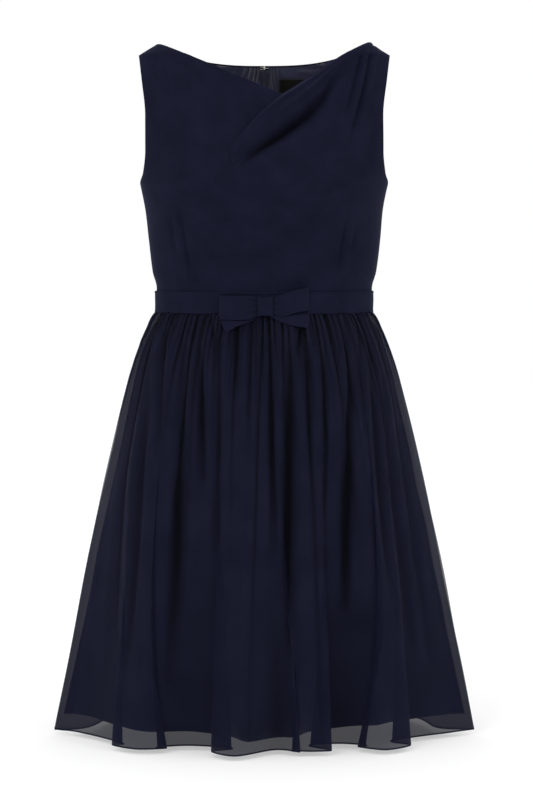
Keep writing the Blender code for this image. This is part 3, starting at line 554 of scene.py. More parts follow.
half = np.concatenate((1 - ends, np.linspace(0.97, 0.04, 92), (0.028, 0.018, 0.010, 0.005, 0.0012)))
for name, side, across in (("left", 1, half), ("right", -1, -half[::-1])):
    base = bodice_grid(across, 1, back_neck_z)
    x, z = np.abs(base[..., 0]), base[..., 2]
    run = along(base, 1)
    from_side = run if side > 0 else run[:, -1:] - run
    from_zip = run[:, -1:] - run if side > 0 else run
    height = (
        creases(x, z + 0.004 * side, BACK_CREASES) + UNEVEN * waviness(x, z, 0.055, 11 + side)
        - rolled_in(along(base, 0), EDGE_ROLL) - rolled_in(from_zip, ZIP_EDGE_ROLL)
        - np.where(z > UNDERARM, rolled_in(from_side, EDGE_ROLL), 0)
    )
    back = panel(f"bodice_back_{name}_cloth", moved(base, height), CHIFFON_ON_CLOTH, CLOTH)
    sewn_on(back)


# ---------------------------------------------------------------------------------------------
# Back lining. Satin-faced polyester lining felled to the neck edge and to the zip tape. It is
# softer than the cloth, so it puckers beside the zip and under the neck.

LINING = 0.0010
TAPE = 0.0010
LINING_INSET = CLOTH + 2 * GAP + TAPE + 2 * GAP
LINING_UNEVEN = 0.0004
LEFT_FULLNESS = 0.6
LINING_PUCKERS = (
    (0.0062, -0.0140, 0.0075, -0.0640, 0.0012, 0.0012, 0.0020),
    (0.0092, -0.0140, 0.0125, -0.0620, 0.0018, 0.0013, 0.0022),
    (0.0128, -0.0140, 0.0180, -0.0580, 0.0022, 0.0014, 0.0021),
    (0.0172, -0.0140, 0.0240, -0.0540, 0.0020, 0.0017, 0.0018),
    (0.0225, -0.0160, 0.0320, -0.0480, 0.0020, 0.0022, 0.0015),
    (0.0420, -0.0300, 0.0760, -0.0340, -0.0020, 0.0024, 0.0016),
    (0.0600, -0.0220, 0.0960, -0.0240, -0.0020, 0.0022, 0.0015),
    (0.0200, -0.0750, 0.0900, -0.0820, 0.0030, 0.0060, 0.0014),
    (0.0200, -0.1250, 0.1000, -0.1180, 0.0030, 0.0070, 0.0014),
    (0.0350, -0.0700, 0.0450, -0.3200, 0.0060, 0.0080, 0.0016),
    (0.0800, -0.0500, 0.0700, -0.3000, 0.0060, 0.0090, 0.0016),
    (0.1100, -0.0600, 0.1000, -0.3000, 0.0040, 0.0090, 0.0014),
)
# Polyester satin, shiny on the side that faces the wearer, so its puckers catch the light
SATIN_LINING = woven_cloth(
    "polyester_satin_lining", "#242538", "#34354b", thread=0.0006, relief=0.00003, rough=0.34,
    Sheen_Weight=0.15, Sheen_Roughness=0.4, IOR=1.5, Specular_IOR_Level=0.6,
)

half = np.concatenate((np.linspace(0.93, 0.25, 62), np.linspace(0.245, 0.030, 66)))
felled_lines = []
for name, side, across in (("left", 1, half), ("right", -1, -half[::-1])):
    base = bodice_grid(across, 1, back_neck_z, 0.0015)
    x, z = np.abs(base[..., 0]), base[..., 2]
    pucker = creases(x, z + 0.003 * side, LINING_PUCKERS) + LINING_UNEVEN * waviness(x, z, 0.016, 21 + side)
    # The right half is the fuller of the two
    fullness = LEFT_FULLNESS if side > 0 else 1.0
    inset = LINING_INSET + LINING_UNEVEN + np.maximum(pucker * fullness, -LINING_UNEVEN)
    # Seen from the wearer's side, the hollows of the lining are its rises towards the back
    facing = moved(base, -inset)
    # Painted shade in the hollows between the lining's puckers
    shade = hollows(facing[:, ::-1], ((2, 0.0009),))[:, ::-1] * 0.85
    piece = panel(f"back_lining_{name}_cloth", facing, SATIN_LINING, hollow=shade)
    felled_lines.append(moved(base, -inset - 0.0002)[:, -1 if side > 0 else 0])
    sewn_on(piece)


# ---------------------------------------------------------------------------------------------
# Neck label. A plain folded ribbon of tight taffeta, sewn flat inside the left back lining. It
# carries no words.

LABEL_X = 0.0380
LABEL_WIDTH = 0.0350
LABEL_TOP = -0.0410
LABEL_HEIGHT = 0.0300
LABEL_CURL = 0.0005
LABEL_INSET = LINING_INSET + LINING + 4 * GAP + 0.0008
# Polyester taffeta ribbon, near black with a slight lustre
LABEL_RIBBON = woven_cloth(
    "polyester_taffeta_ribbon", "#090908", "#131210", thread=0.0005, relief=0.00006, rough=0.45,
    IOR=1.5, Specular_IOR_Level=0.15,
)

across = np.linspace(0.5, -0.5, 37)[None, :]
down = np.linspace(0, 1, 31)[:, None]
x, z = LABEL_X + LABEL_WIDTH * across, LABEL_TOP - LABEL_HEIGHT * down
curl = LABEL_CURL * np.cos(2 * math.pi * across) * np.sin(math.pi * down)
curl = curl + 0.0002 * waviness(x, z, 0.010, 3)
label_points = moved(body_at_x(x, z, 1), -LABEL_INSET - curl)
neck_label = panel("neck_label_cloth", label_points, LABEL_RIBBON, 0.0006)
sewn_on(neck_label)


# ---------------------------------------------------------------------------------------------
# Skirt lining. Three panels of satin lining, slimmer and 22 mm shorter than the chiffon, sewn
# into the waist seam and hemmed with a narrow roll.

BELT_BOTTOM = -0.3608
LINING_HEM = -0.9060
HEM = -0.9285
FOLD_GROWTH = 1.25
HEM_ROLL_TURNS = np.radians(np.arange(30, 331, 30))[:, None, None]
SKIRT_COLUMNS = ("height", "half_width", "front", "back")
LINING_FORM = (
    (WAIST_SEAM, 0.1404, 0.0926, 0.0902),
    (BELT_BOTTOM, 0.1404, 0.0926, 0.0902),
    (-0.3810, 0.1530, 0.0970, 0.0970),
    (-0.4040, 0.1628, 0.1010, 0.1030),
    (-0.4725, 0.1808, 0.1080, 0.1150),
    (-0.5535, 0.1985, 0.1140, 0.1220),
    (-0.6750, 0.2250, 0.1190, 0.1260),
    (-0.7965, 0.2495, 0.1230, 0.1270),
    (LINING_HEM, 0.2730, 0.1260, 0.1280),
)
# The turns of a hem line. angle: where the turn's cloth leaves the belt, in degrees from straight
# ahead. x and depth: where it ends at the hem. start: the height where the fold begins.
TURN_COLUMNS = ("angle", "x", "depth", "start")
LINING_FRONT_TURNS = (
    (-90.0, -0.2730, 0.003, -0.45),
    (-71.0, -0.2400, 0.015, -0.45),
    (-56.0, -0.1960, 0.073, -0.50),
    (-44.0, -0.1560, 0.108, -0.45),
    (-29.0, -0.1000, 0.098, -0.45),
    (-19.0, -0.0520, 0.110, -0.42),
    (-8.0, -0.0240, 0.138, -0.42),
    (5.0, 0.0180, 0.116, -0.42),
    (13.0, 0.0420, 0.121, -0.45),
    (23.0, 0.0620, 0.092, -0.50),
    (33.0, 0.1050, 0.084, -0.45),
    (45.0, 0.1450, 0.088, -0.45),
    (57.0, 0.1780, 0.058, -0.45),
    (72.0, 0.2400, 0.015, -0.45),
    (90.0, 0.2730, 0.003, -0.45),
)
LINING_BACK_TURNS = (
    (90.0, 0.2730, 0.003, -0.45),
    (105.0, 0.2360, -0.003, -0.45),
    (121.0, 0.1960, -0.070, -0.45),
    (132.0, 0.1580, -0.070, -0.50),
    (145.0, 0.1120, -0.124, -0.50),
    (157.0, 0.0680, -0.108, -0.55),
    (168.0, 0.0320, -0.130, -0.58),
    (180.0, 0.0000, -0.124, -0.58),
    (192.0, -0.0340, -0.132, -0.58),
    (204.0, -0.0740, -0.106, -0.55),
    (216.0, -0.1220, -0.124, -0.50),
    (229.0, -0.1650, -0.068, -0.50),
    (240.0, -0.2020, -0.068, -0.45),
    (255.0, -0.2380, -0.003, -0.45),
    (270.0, -0.2730, 0.003, -0.45),
)
LINING_MIDDLE_TURN = 7
# How much lower than its cut the front of the lining has dropped, from its right side to its left
LINING_DROP_X = (-0.27, -0.20, -0.10, -0.05, -0.02, 0.03, 0.07, 0.13, 0.27)
LINING_DROP = (0.0, 0.003, 0.006, 0.009, 0.012, 0.010, 0.007, 0.0, 0.0)
HEM_TURN = 0.0011
LINING_SLACK = 0.0008
LINING_CLEAR = 0.0120


def skirt_grid(turns, form, hem, places, heights):
    """Points of a skirt panel: places count the turns of its hem line, heights run down."""
    column = {n: through_rows(turns, TURN_COLUMNS, n, places) for n in TURN_COLUMNS}
    angle = np.radians(column["angle"])

    def plan(z):
        depth = np.where(
            np.cos(angle) > 0, monotone(form, SKIRT_COLUMNS, "front", z),
            monotone(form, SKIRT_COLUMNS, "back", z),
        )
        return monotone(form, SKIRT_COLUMNS, "half_width", z) * np.sin(angle), -depth * np.cos(angle)

    z = np.asarray(heights)[:, None]
    hem_x, hem_y = plan(np.array(hem))
    x, y = plan(z)
    grown = np.clip((column["start"] - z) / (column["start"] - hem), 0, 1) ** FOLD_GROWTH
    x = x + (column["x"] - hem_x) * grown
    y = y + (-column["depth"] - hem_y) * grown
    return np.stack((x, y, np.broadcast_to(z, x.shape)), axis=-1)


def turned_hem(points, roll):
    """Adds rows below a panel that roll its raw edge inwards and up, as a narrow hem does."""
    edge, out = points[-1], outward(points)[-1]
    down = points[-1] - points[-2]
    down /= np.linalg.norm(down, axis=-1, keepdims=True)
    rows = edge + roll * (out * (np.cos(HEM_ROLL_TURNS) - 1) + down * np.sin(HEM_ROLL_TURNS))
    return np.concatenate((points, rows))


lining_heights = fill_between(np.array((WAIST_SEAM, BELT_BOTTOM, -0.4725, LINING_HEM)) * -1, 0.011) * -1
last_turn = len(LINING_BACK_TURNS) - 1
for name, turns, first, last, flat, area in (
    ("front", LINING_FRONT_TURNS, 0, len(LINING_FRONT_TURNS) - 1, (0.62, 0.56), 0.31),
    ("back_left", LINING_BACK_TURNS, 0, LINING_MIDDLE_TURN, (0.33, 0.56), 0.16),
    ("back_right", LINING_BACK_TURNS, LINING_MIDDLE_TURN, last_turn, (0.33, 0.56), 0.16),
):
    places = np.linspace(first, last, (last - first) * 14 + 1)[None, :]
    points = skirt_grid(turns, LINING_FORM, LINING_HEM, places, lining_heights)
    run, x, z = along(points, 1), points[..., 0], points[..., 2]
    soft = LINING_SLACK * waviness(run * 1.6, z * 0.35, 0.030, 31)
    # It hangs clear of the folds of the chiffon between the hip and the knee
    clear = LINING_CLEAR * np.clip((-0.366 - z) / 0.05, 0, 1) * np.clip((z + 0.88) / 0.20, 0, 1)
    if name == "front":
        clear = clear * np.sin(math.pi * np.clip(run / run[:, -1:], 0, 1)) ** 0.5
    else:
        clear = clear * 0.5
    lining_points = moved(points, soft - LINING_SLACK - clear)
    if name == "front":
        dropped = np.interp(x, LINING_DROP_X, LINING_DROP) * np.clip((-0.45 - z) / 0.45, 0, 1)
        lining_points[..., 2] -= dropped
    lining_points = turned_hem(lining_points, HEM_TURN)
    piece = panel(f"lining_{name}_cloth", lining_points, SATIN_LINING)
    sewn_on(piece)


# ---------------------------------------------------------------------------------------------
# Chiffon skirt. Three panels of one layer of sheer polyester chiffon, gathered into the waist
# seam by many small uneven gathers that run together into the main folds, and finished with a
# narrow rolled hem. The lining shows through it, and below the lining's hem it is see-through.

CHIFFON = 0.0010
SKIRT_FORM = (
    (WAIST_SEAM, 0.1449, 0.0970, 0.0950),
    (BELT_BOTTOM, 0.1449, 0.0970, 0.0950),
    (-0.3660, 0.1490, 0.0990, 0.0980),
    (-0.3810, 0.1570, 0.1040, 0.1050),
    (-0.4040, 0.1674, 0.1110, 0.1130),
    (-0.4280, 0.1762, 0.1160, 0.1190),
    (-0.4725, 0.1883, 0.1220, 0.1270),
    (-0.5535, 0.2086, 0.1300, 0.1350),
    (-0.6750, 0.2356, 0.1370, 0.1410),
    (-0.7965, 0.2599, 0.1420, 0.1440),
    (HEM, 0.2862, 0.1450, 0.1470),
)
FRONT_TURNS = (
    (-90.0, -0.2862, 0.0, -0.45),  # fold of the right side
    (-71.0, -0.2450, 0.028, -0.45),  # first hollow
    (-58.0, -0.1880, 0.097, -0.56),  # first tuck, inner turn
    (-52.0, -0.2000, 0.108, -0.56),  # first tuck, outer edge
    (-44.0, -0.1665, 0.135, -0.45),  # crest
    (-37.5, -0.1285, 0.129, -0.72),  # narrow tuck, outer edge
    (-35.5, -0.1400, 0.124, -0.72),  # narrow tuck, inner turn
    (-29.0, -0.1000, 0.112, -0.42),  # hollow
    (-20.0, -0.0420, 0.131, -0.42),  # second tuck, inner turn
    (-16.0, -0.0690, 0.150, -0.42),  # second tuck, outer edge
    (-8.0, -0.0360, 0.180, -0.42),  # middle crest
    (3.0, 0.0150, 0.138, -0.42),  # middle hollow
    (7.5, 0.0460, 0.153, -0.72),  # narrow tuck, outer edge
    (9.5, 0.0360, 0.146, -0.72),  # narrow tuck, inner turn
    (13.5, 0.0640, 0.150, -0.45),  # crest
    (20.0, 0.0885, 0.143, -0.52),  # third tuck, outer edge
    (24.0, 0.0600, 0.112, -0.52),  # third tuck, inner turn
    (31.0, 0.1020, 0.099, -0.45),  # hollow
    (37.5, 0.1335, 0.112, -0.72),  # narrow tuck, inner turn
    (39.5, 0.1235, 0.119, -0.72),  # narrow tuck, outer edge
    (45.0, 0.1600, 0.140, -0.45),  # crest
    (53.0, 0.1940, 0.108, -0.50),  # fourth tuck, outer edge
    (58.0, 0.1710, 0.080, -0.50),  # fourth tuck, inner turn
    (72.0, 0.2430, 0.029, -0.45),  # last hollow
    (90.0, 0.2862, 0.0, -0.45),  # fold of the left side
)
BACK_TURNS = (
    (90.0, 0.2862, 0.0, -0.45),  # fold of the left side
    (105.0, 0.2420, -0.010, -0.45),  # hollow
    (121.0, 0.2080, -0.090, -0.45),  # crest
    (131.0, 0.1620, -0.084, -0.50),  # hollow
    (137.0, 0.1330, -0.118, -0.60),  # narrow tuck, inner turn
    (140.0, 0.1440, -0.134, -0.60),  # narrow tuck, outer edge
    (146.0, 0.1150, -0.158, -0.50),  # crest
    (154.0, 0.0740, -0.124, -0.55),  # hollow
    (159.0, 0.0410, -0.138, -0.62),  # narrow tuck, inner turn
    (162.0, 0.0500, -0.150, -0.62),  # narrow tuck, outer edge
    (168.0, 0.0320, -0.160, -0.58),  # crest beside the middle seam
    (180.0, 0.0000, -0.142, -0.58),  # middle seam
    (193.0, -0.0380, -0.163, -0.58),  # crest beside the middle seam
    (206.0, -0.0800, -0.122, -0.55),  # hollow
    (216.0, -0.1280, -0.155, -0.50),  # crest
    (221.0, -0.1520, -0.138, -0.60),  # narrow tuck, outer edge
    (224.0, -0.1400, -0.120, -0.60),  # narrow tuck, inner turn
    (230.0, -0.1720, -0.082, -0.50),  # hollow
    (241.0, -0.2140, -0.088, -0.45),  # crest
    (255.0, -0.2440, -0.010, -0.45),  # hollow
    (270.0, -0.2862, 0.0, -0.45),  # fold of the right side
)
MIDDLE_BACK_TURN = 11
# The main folds of the front
FRONT_FOLDS = (
    (-0.0690, -0.3600, -0.0640, -0.4150, 0.0, 0.0022, -0.0060),
    (-0.0830, -0.4000, -0.0810, -0.5900, 0.0, 0.0050, -0.0090),
    (-0.1080, -0.3650, -0.1240, -0.8600, -0.0040, 0.0080, -0.0100),
    (-0.1300, -0.3620, -0.1430, -0.5600, 0.0, 0.0045, -0.0060),
    (-0.1500, -0.3750, -0.1850, -0.8600, 0.0, 0.0070, -0.0070),
    (-0.1640, -0.4000, -0.2150, -0.8800, 0.0, 0.0090, -0.0050),
    (-0.0560, -0.4000, -0.0640, -0.6800, 0.0, 0.0040, -0.0060),
    (-0.0180, -0.3640, -0.0200, -0.5200, 0.0, 0.0040, -0.0045),
    (-0.0340, -0.3640, -0.0350, -0.4700, 0.0, 0.0030, -0.0045),
    (0.0100, -0.3700, 0.0140, -0.6800, 0.0020, 0.0040, -0.0080),
    (0.0345, -0.3900, 0.0290, -0.8100, 0.0, 0.0078, -0.0185),
    (0.0480, -0.3600, 0.0440, -0.4200, 0.0, 0.0022, -0.0070),
    (0.0600, -0.3700, 0.0620, -0.5400, 0.0, 0.0040, -0.0050),
    (0.0790, -0.3800, 0.0800, -0.6400, 0.0, 0.0045, -0.0070),
    (0.1040, -0.3620, 0.1160, -0.4800, 0.0, 0.0032, -0.0060),
    (0.1190, -0.4100, 0.1060, -0.7600, 0.0030, 0.0060, -0.0150),
    (0.1230, -0.3640, 0.1330, -0.5300, 0.0, 0.0036, -0.0050),
    (0.1360, -0.3700, 0.1700, -0.7600, 0.0, 0.0060, -0.0080),
    (0.1500, -0.3760, 0.1980, -0.8300, 0.0, 0.0060, -0.0060),
    (0.1620, -0.3900, 0.2260, -0.8600, 0.0, 0.0060, -0.0040),
)
GATHERS_FROM = -0.3575
SKIRT_UNEVEN = 0.0015
SEAM_FOLD = 0.030
# The fold depth at which the painted shade of the listed folds is fullest
FULL_SHADE_FOLD_DEPTH = 0.0200
# Gathers. Their columns are their spacing along the waist seam, how far their puffs rise, the
# least and the most that they reach down, and the half width of the line of painted shade between two
# puffs.
# The fine ones end within the hip and the wider ones run on as soft folds.
GATHERS = (
    (0.0078, 0.0026, 0.050, 0.130, 0.0013),
    (0.0210, 0.0030, 0.090, 0.260, 0.0013),
    (0.0420, 0.0044, 0.160, 0.450, 0.0016),
    (0.0050, 0.0016, 0.016, 0.070, 0.0009),
)
# The same chiffon in one layer, which lets about a seventh of the light through
SHEER_CHIFFON = woven_cloth("polyester_chiffon_sheer", Alpha=0.86, **CHIFFON_FINISH)


def gathers(waist_run, z, seed):
    """The height of uneven rounded puffs, fading down the skirt, and the painted shade of the line between
    two puffs.
    """
    chance = np.random.default_rng(seed)
    drop = np.maximum(GATHERS_FROM - z, 0)
    height = np.zeros(np.broadcast(waist_run, z).shape)
    fold_painted_shade = np.zeros(height.shape)
    for spacing, rise, shortest, longest, line in GATHERS:
        count = round(waist_run.max() / spacing)
        widths = chance.choice((0.7, 0.85, 1.0, 1.15, 1.3), count)
        valleys = np.concatenate(([0.0], np.cumsum(widths))) * waist_run.max() / widths.sum()
        reach = shortest + (longest - shortest) * chance.uniform(0, 1, count + 1) ** 1.3
        puff = rise * widths**0.5 * chance.uniform(0.75, 1.25, count)
        dark = chance.uniform(0.55, 1.0, count + 1)
        lean = np.concatenate(([0.0], chance.uniform(-0.5, 0.5, count - 1), [0.0])) * spacing
        # Valleys wander a little sideways on their way down
        moved_to = waist_run + np.interp(waist_run, valleys, lean) * np.clip(drop / longest, 0, 1)
        i = np.clip(np.searchsorted(valleys, moved_to) - 1, 0, count - 1)
        t = np.clip((moved_to - valleys[i]) / (valleys[i + 1] - valleys[i]), 0, 1)
        left = np.exp(-((drop / reach[i]) ** 1.6))
        height += puff[i] * left * (np.sin(math.pi * t) ** 0.55 - 0.5)
        nearer = i + np.round(t).astype(int)
        off = np.abs(moved_to - valleys[nearer])
        fold_painted_shade += dark[nearer] * np.exp(-((off / line) ** 2) - (drop / (reach[nearer] * 1.2)) ** 1.6)
    start = np.clip(drop / 0.004, 0, 1) ** 0.7
    return height * start, fold_painted_shade * start


# The rows are closer together under the belt, among the fine gathers
skirt_heights = -fill_between(np.array((-WAIST_SEAM, 0.3560, 0.3700, 0.4300)), 0.0030)[:-1]
skirt_heights = np.concatenate((skirt_heights, -fill_between(np.array((0.4300, -HEM)), 0.0085)))
hem_edges = []
last_turn = len(BACK_TURNS) - 1
for name, turns, first, last, columns, seed, flat, area in (
    ("front", FRONT_TURNS, 0, len(FRONT_TURNS) - 1, 640, 5, (0.86, 0.59), 0.47),
    ("back_left", BACK_TURNS, 0, MIDDLE_BACK_TURN, 300, 6, (0.44, 0.59), 0.22),
    ("back_right", BACK_TURNS, MIDDLE_BACK_TURN, last_turn, 300, 7, (0.44, 0.59), 0.22),
):
    # The columns are even along the waist, where the gathers are finest
    angle = np.array([row[0] for row in turns[first:last + 1]])
    even = np.linspace(angle[0], angle[-1], columns)
    places = (first + np.interp(even, angle, np.arange(len(angle))))[None, :]
    points = skirt_grid(turns, SKIRT_FORM, HEM, places, skirt_heights)
    x, z = points[..., 0], points[..., 2]
    waist_run = np.broadcast_to(along(points[:1], 1), x.shape)
    # The puffs flatten towards the side seams, whose folds stay smooth
    from_first, from_last = waist_run, waist_run.max() - waist_run
    if name == "front":
        from_seam = np.minimum(from_first, from_last)
    else:
        from_seam = from_first if name == "back_left" else from_last
    height, fold_painted_shade = gathers(waist_run, z, seed)
    height *= 0.35 + 0.65 * smooth_step(from_seam, 0, SEAM_FOLD)
    soft = SKIRT_UNEVEN * waviness(waist_run * 2.2, z * 0.25, 0.030, 40 + seed)
    height += soft * smooth_step(z, -0.37, -0.45)
    by_hand = creases(x, z, FRONT_FOLDS) if name == "front" else np.zeros(x.shape)
    skirt_points = turned_hem(moved(points, height + by_hand), HEM_TURN)
    hem_edges.append(moved(points, height + by_hand + 0.0002)[-2:])
    # Painted shade in the skirt's hollows, along the lines between the gathers and in the listed folds
    shade = hollows(skirt_points, ((10, 0.0090),)) * 0.55
    shade[:len(x)] += DARKEST_PAINTED_SHADE * fold_painted_shade + np.clip(-by_hand / FULL_SHADE_FOLD_DEPTH, 0, 1) ** 1.4
    shade = np.clip(shade, 0, DARKEST_PAINTED_SHADE)
    piece = panel(f"skirt_{name}_cloth", skirt_points, SHEER_CHIFFON, hollow=shade)
    sewn_on(piece)


# ---------------------------------------------------------------------------------------------
# Belt. A straight band of the mounted chiffon, folded to 29 mm, tacked round the waist seam and
# ending at the zip.

BELT_TOP = -0.3315
BELT_WALL = 0.0018
BELT_CLEARANCE = 0.0007
BELT_EDGE_ROLL = 0.0011
BELT_PUFF = 0.0004


def belt_outer(angle, z, out=0.0):
    """Points of the belt's outer face, or further out. Angle 0 is straight ahead."""
    angle, z = np.broadcast_arrays(np.asarray(angle, float), np.asarray(z, float))
    grown = BELT_CLEARANCE + BELT_WALL + out
    depth = np.where(np.cos(angle) > 0, ring_depth(WAIST_SEAM, -1), ring_depth(WAIST_SEAM, 1)) + grown
    half_width = ring_half_width(WAIST_SEAM) + grown
    return np.stack((half_width * np.sin(angle), -depth * np.cos(angle), z), axis=-1)


angle = np.linspace(-math.pi + 0.0016, math.pi - 0.0016, 320)[None, :]
share = np.concatenate((np.linspace(0, 0.06, 5), np.linspace(0.10, 0.90, 15), np.linspace(0.94, 1, 5)))
share = share[:, None]
z = BELT_TOP + (BELT_BOTTOM - BELT_TOP) * share
from_edge = np.minimum(share, 1 - share) * (BELT_TOP - BELT_BOTTOM)
puff = np.exp(-(((from_edge - 0.0014) / 0.0012) ** 2)) + waviness(angle * 0.12, z * 2, 0.030, 51)
belt_points = belt_outer(angle, z, BELT_PUFF * puff - rolled_in(from_edge, BELT_EDGE_ROLL))
belt = panel("belt_cloth", belt_points, CHIFFON_ON_CLOTH, BELT_WALL)
sewn_on(belt)


# ---------------------------------------------------------------------------------------------
# Bow. A band of mounted chiffon folded to two loops with flat ends below them, pinched by a
# short band wrapped over the middle, and tacked on the belt. Its two sides differ.

BOW_X = 0.0014
KNOT_HALF_WIDTH = 0.0103
KNOT_TOP = -0.3368
KNOT_BOTTOM = -0.3640
KNOT_OUT = 0.0106
BOW_COLUMNS = ("out", "top", "bottom")
UNDER_KNOT = (0.0050, -0.3420, -0.3600)
LOOP_AT_KNOT = (0.0106, -0.3385, -0.3622)
TAIL_AT_KNOT = (0.0106, -0.3420, -0.3655)
LEFT_LOOP = (
    UNDER_KNOT,
    LOOP_AT_KNOT,
    (0.0220, -0.3345, -0.3634),
    (0.0420, -0.3286, -0.3580),
    (0.0568, -0.3253, -0.3558),
)
RIGHT_LOOP = (
    UNDER_KNOT,
    LOOP_AT_KNOT,
    (0.0220, -0.3368, -0.3675),
    (0.0420, -0.3366, -0.3682),
    (0.0600, -0.3364, -0.3680),
)
LEFT_TAIL = (
    UNDER_KNOT,
    TAIL_AT_KNOT,
    (0.0250, -0.3440, -0.3720),
    (0.0430, -0.3470, -0.3764),
    (0.0582, -0.3490, -0.3782),
)
RIGHT_TAIL = (
    UNDER_KNOT,
    TAIL_AT_KNOT,
    (0.0250, -0.3440, -0.3716),
    (0.0400, -0.3480, -0.3770),
    (0.0585, -0.3560, -0.3850),
)
TAIL_LIFT = 0.0052
TAIL_RIPPLE = 0.0004
KNOT_CORNER = 0.55
# How far a loop's front stands off its back, beside the knot and at the loop's end
LOOP_FULL_INSIDE = 0.0050
LOOP_FULL_END = 0.0030
LOOP_SWELL = 0.0015
LOOP_END_RADIUS = 0.0015
LOOP_BACK_OFFSET = 0.0018
LOOP_PLEAT = 0.0010
LOOP_PINCH = 0.0016
LOOP_CROWN = 0.0010
LOOP_PLEATS = 3.5


def in_front_of_waist(x, z, out):
    """Points that stand off the belt, or off the gathers below it, whichever is further out."""
    angle = np.arcsin(x / (ring_half_width(WAIST_SEAM) + BELT_CLEARANCE + BELT_WALL))
    on_belt = belt_outer(angle, z)[..., 1]
    half_width = monotone(SKIRT_FORM, SKIRT_COLUMNS, "half_width", z)
    on_skirt = -monotone(SKIRT_FORM, SKIRT_COLUMNS, "front", z) * np.sqrt(1 - (x / half_width) ** 2)
    return np.stack((x, np.minimum(on_belt, on_skirt) - out, z), axis=-1)


def bow_part(table, side, reach, share):
    """x and z on one side of the bow, at distances out from the middle and shares down."""
    top = monotone(table, BOW_COLUMNS, "top", reach)
    bottom = monotone(table, BOW_COLUMNS, "bottom", reach)
    return np.broadcast_arrays(BOW_X + side * reach, top + (bottom - top) * share)


share = np.linspace(0, 1, 33)[:, None]
for name, side, table in (("left", 1, LEFT_LOOP), ("right", -1, RIGHT_LOOP)):
    reach = table[-1][0]
    t = np.linspace(0, 1, 44)
    ahead = table[0][0] + (reach - LOOP_END_RADIUS - table[0][0]) * t
    full = LOOP_FULL_INSIDE * (1 - t) + LOOP_FULL_END * t + LOOP_SWELL * np.sin(math.pi * t)
    bend = np.radians(np.linspace(-80, 80, 9))
    round_end = reach - LOOP_END_RADIUS + LOOP_END_RADIUS * np.cos(bend)
    path = np.concatenate((ahead, round_end, ahead[::-1]))
    off = np.concatenate((full, full[-1] * (1 - np.sin(bend)) / 2, np.zeros_like(ahead))) + LOOP_BACK_OFFSET
    front = np.concatenate((np.ones_like(t), np.linspace(1, 0, 9), np.zeros_like(t)))
    near = np.clip(1 - (path - 0.008) / 0.030, 0, 1)
    x, z = bow_part(table, side, path[None, :], share)
    pleats = np.cos(share * 2 * math.pi * LOOP_PLEATS + side)
    pinch = LOOP_PLEAT * pleats - LOOP_PINCH * (2 * share - 1) ** 2
    crown = LOOP_CROWN * np.sin(math.pi * share) * np.sin(math.pi * np.clip(path / reach, 0, 1))
    stand = np.maximum(off + front * (near * pinch + crown), LOOP_BACK_OFFSET)
    points = in_front_of_waist(x, z, stand)
    loop_points = points if side < 0 else points[:, ::-1]
    piece = panel(f"bow_loop_{name}_cloth", loop_points, CHIFFON_ON_CLOTH, 0.0009)
    sewn_on(piece)

for name, side, table, slant, lift_from, lift_to in (
    ("left", 1, LEFT_TAIL, 0.0015, BELT_BOTTOM + 0.004, BELT_BOTTOM - 0.004),
    ("right", -1, RIGHT_TAIL, 0.0075, -0.3620, -0.3730),
):
    reach = np.linspace(table[0][0], table[-1][0], 50)[None, :]
    if side < 0:
        reach = reach[:, ::-1]
    x, z = bow_part(table, side, reach, share)
    # The ends are cut on the slant, so the lower corner is nearer the middle
    x = x - side * slant * share**3 * np.clip(reach / table[-1][0], 0, 1) ** 4
    ripple = TAIL_RIPPLE * np.sin(share * 7 + reach * 60) * np.clip(reach / 0.05, 0, 1) + TAIL_RIPPLE
    # Below the belt they lie on the puffs of the gathers, the right one from under its loop
    lifted = TAIL_LIFT * smooth_step(z, lift_from, lift_to)
    points = in_front_of_waist(x, z, GAP + CHIFFON + ripple + lifted)
    piece = panel(f"bow_tail_{name}_cloth", points, CHIFFON_ON_CLOTH, 0.0008)
    sewn_on(piece)

turn = np.linspace(0, 2 * math.pi, 73)[:-1]
across = np.linspace(-1, 1, 33)[:, None]
waisted = 1 - 0.10 * (1 - across**2)
middle_z, half_z = (KNOT_TOP + KNOT_BOTTOM) / 2, (KNOT_TOP - KNOT_BOTTOM) / 2
ring_z = np.sign(np.sin(turn)) * np.abs(np.sin(turn)) ** KNOT_CORNER
ring_y = np.sign(np.cos(turn)) * np.abs(np.cos(turn)) ** KNOT_CORNER
pleat = 1 + 0.035 * np.cos(across * 9.0 + 0.6) * np.clip(ring_y, 0, 1)
x = BOW_X + KNOT_HALF_WIDTH * across * (1 - 0.05 * ring_y)
z = middle_z + half_z * ring_z * waisted
y = belt_outer(0, 0)[1] - GAP - KNOT_OUT / 2 * (1 + ring_y * waisted * pleat)
knot_points = np.stack(np.broadcast_arrays(x, y, z), axis=-1)
bow_knot = panel("bow_knot_cloth", knot_points, CHIFFON_ON_CLOTH, 0.0012, close=True)
sewn_on(bow_knot)


# ---------------------------------------------------------------------------------------------
# Concealed zip. Two woven tapes sewn inside the middle back, with a nylon coil that is closed up
# to the slider below the neck and hidden from outside by the turned edges of the cloth.

ZIP_TOP = -0.0300
ZIP_END = -0.520
ZIP_HALF_WIDTH = 0.0105
COIL_HALF_WIDTH = 0.0020
COIL_PITCH = 0.0013
COIL_THICKNESS = 0.0009
ZIP_STEP = 0.005
# Polyester tape, a firm ribbed weave whose ribs are 0.8 mm apart
ZIP_TAPE = woven_cloth(
    "polyester_zip_tape", "#151727", "#22253c", thread=0.0008, relief=0.00012, rough=0.65,
    IOR=1.5, Specular_IOR_Level=0.4,
)


def middle_back_y(z):
    """Where the outer face of the middle back is, on the bodice or the skirt."""
    middle = np.full((1, 1), float(MIDDLE_BACK_TURN))
    skirt = skirt_grid(BACK_TURNS, SKIRT_FORM, HEM, middle, np.atleast_1d(z))[:, 0, 1]
    return np.where(z > WAIST_SEAM, ring_depth(z, 1), skirt)


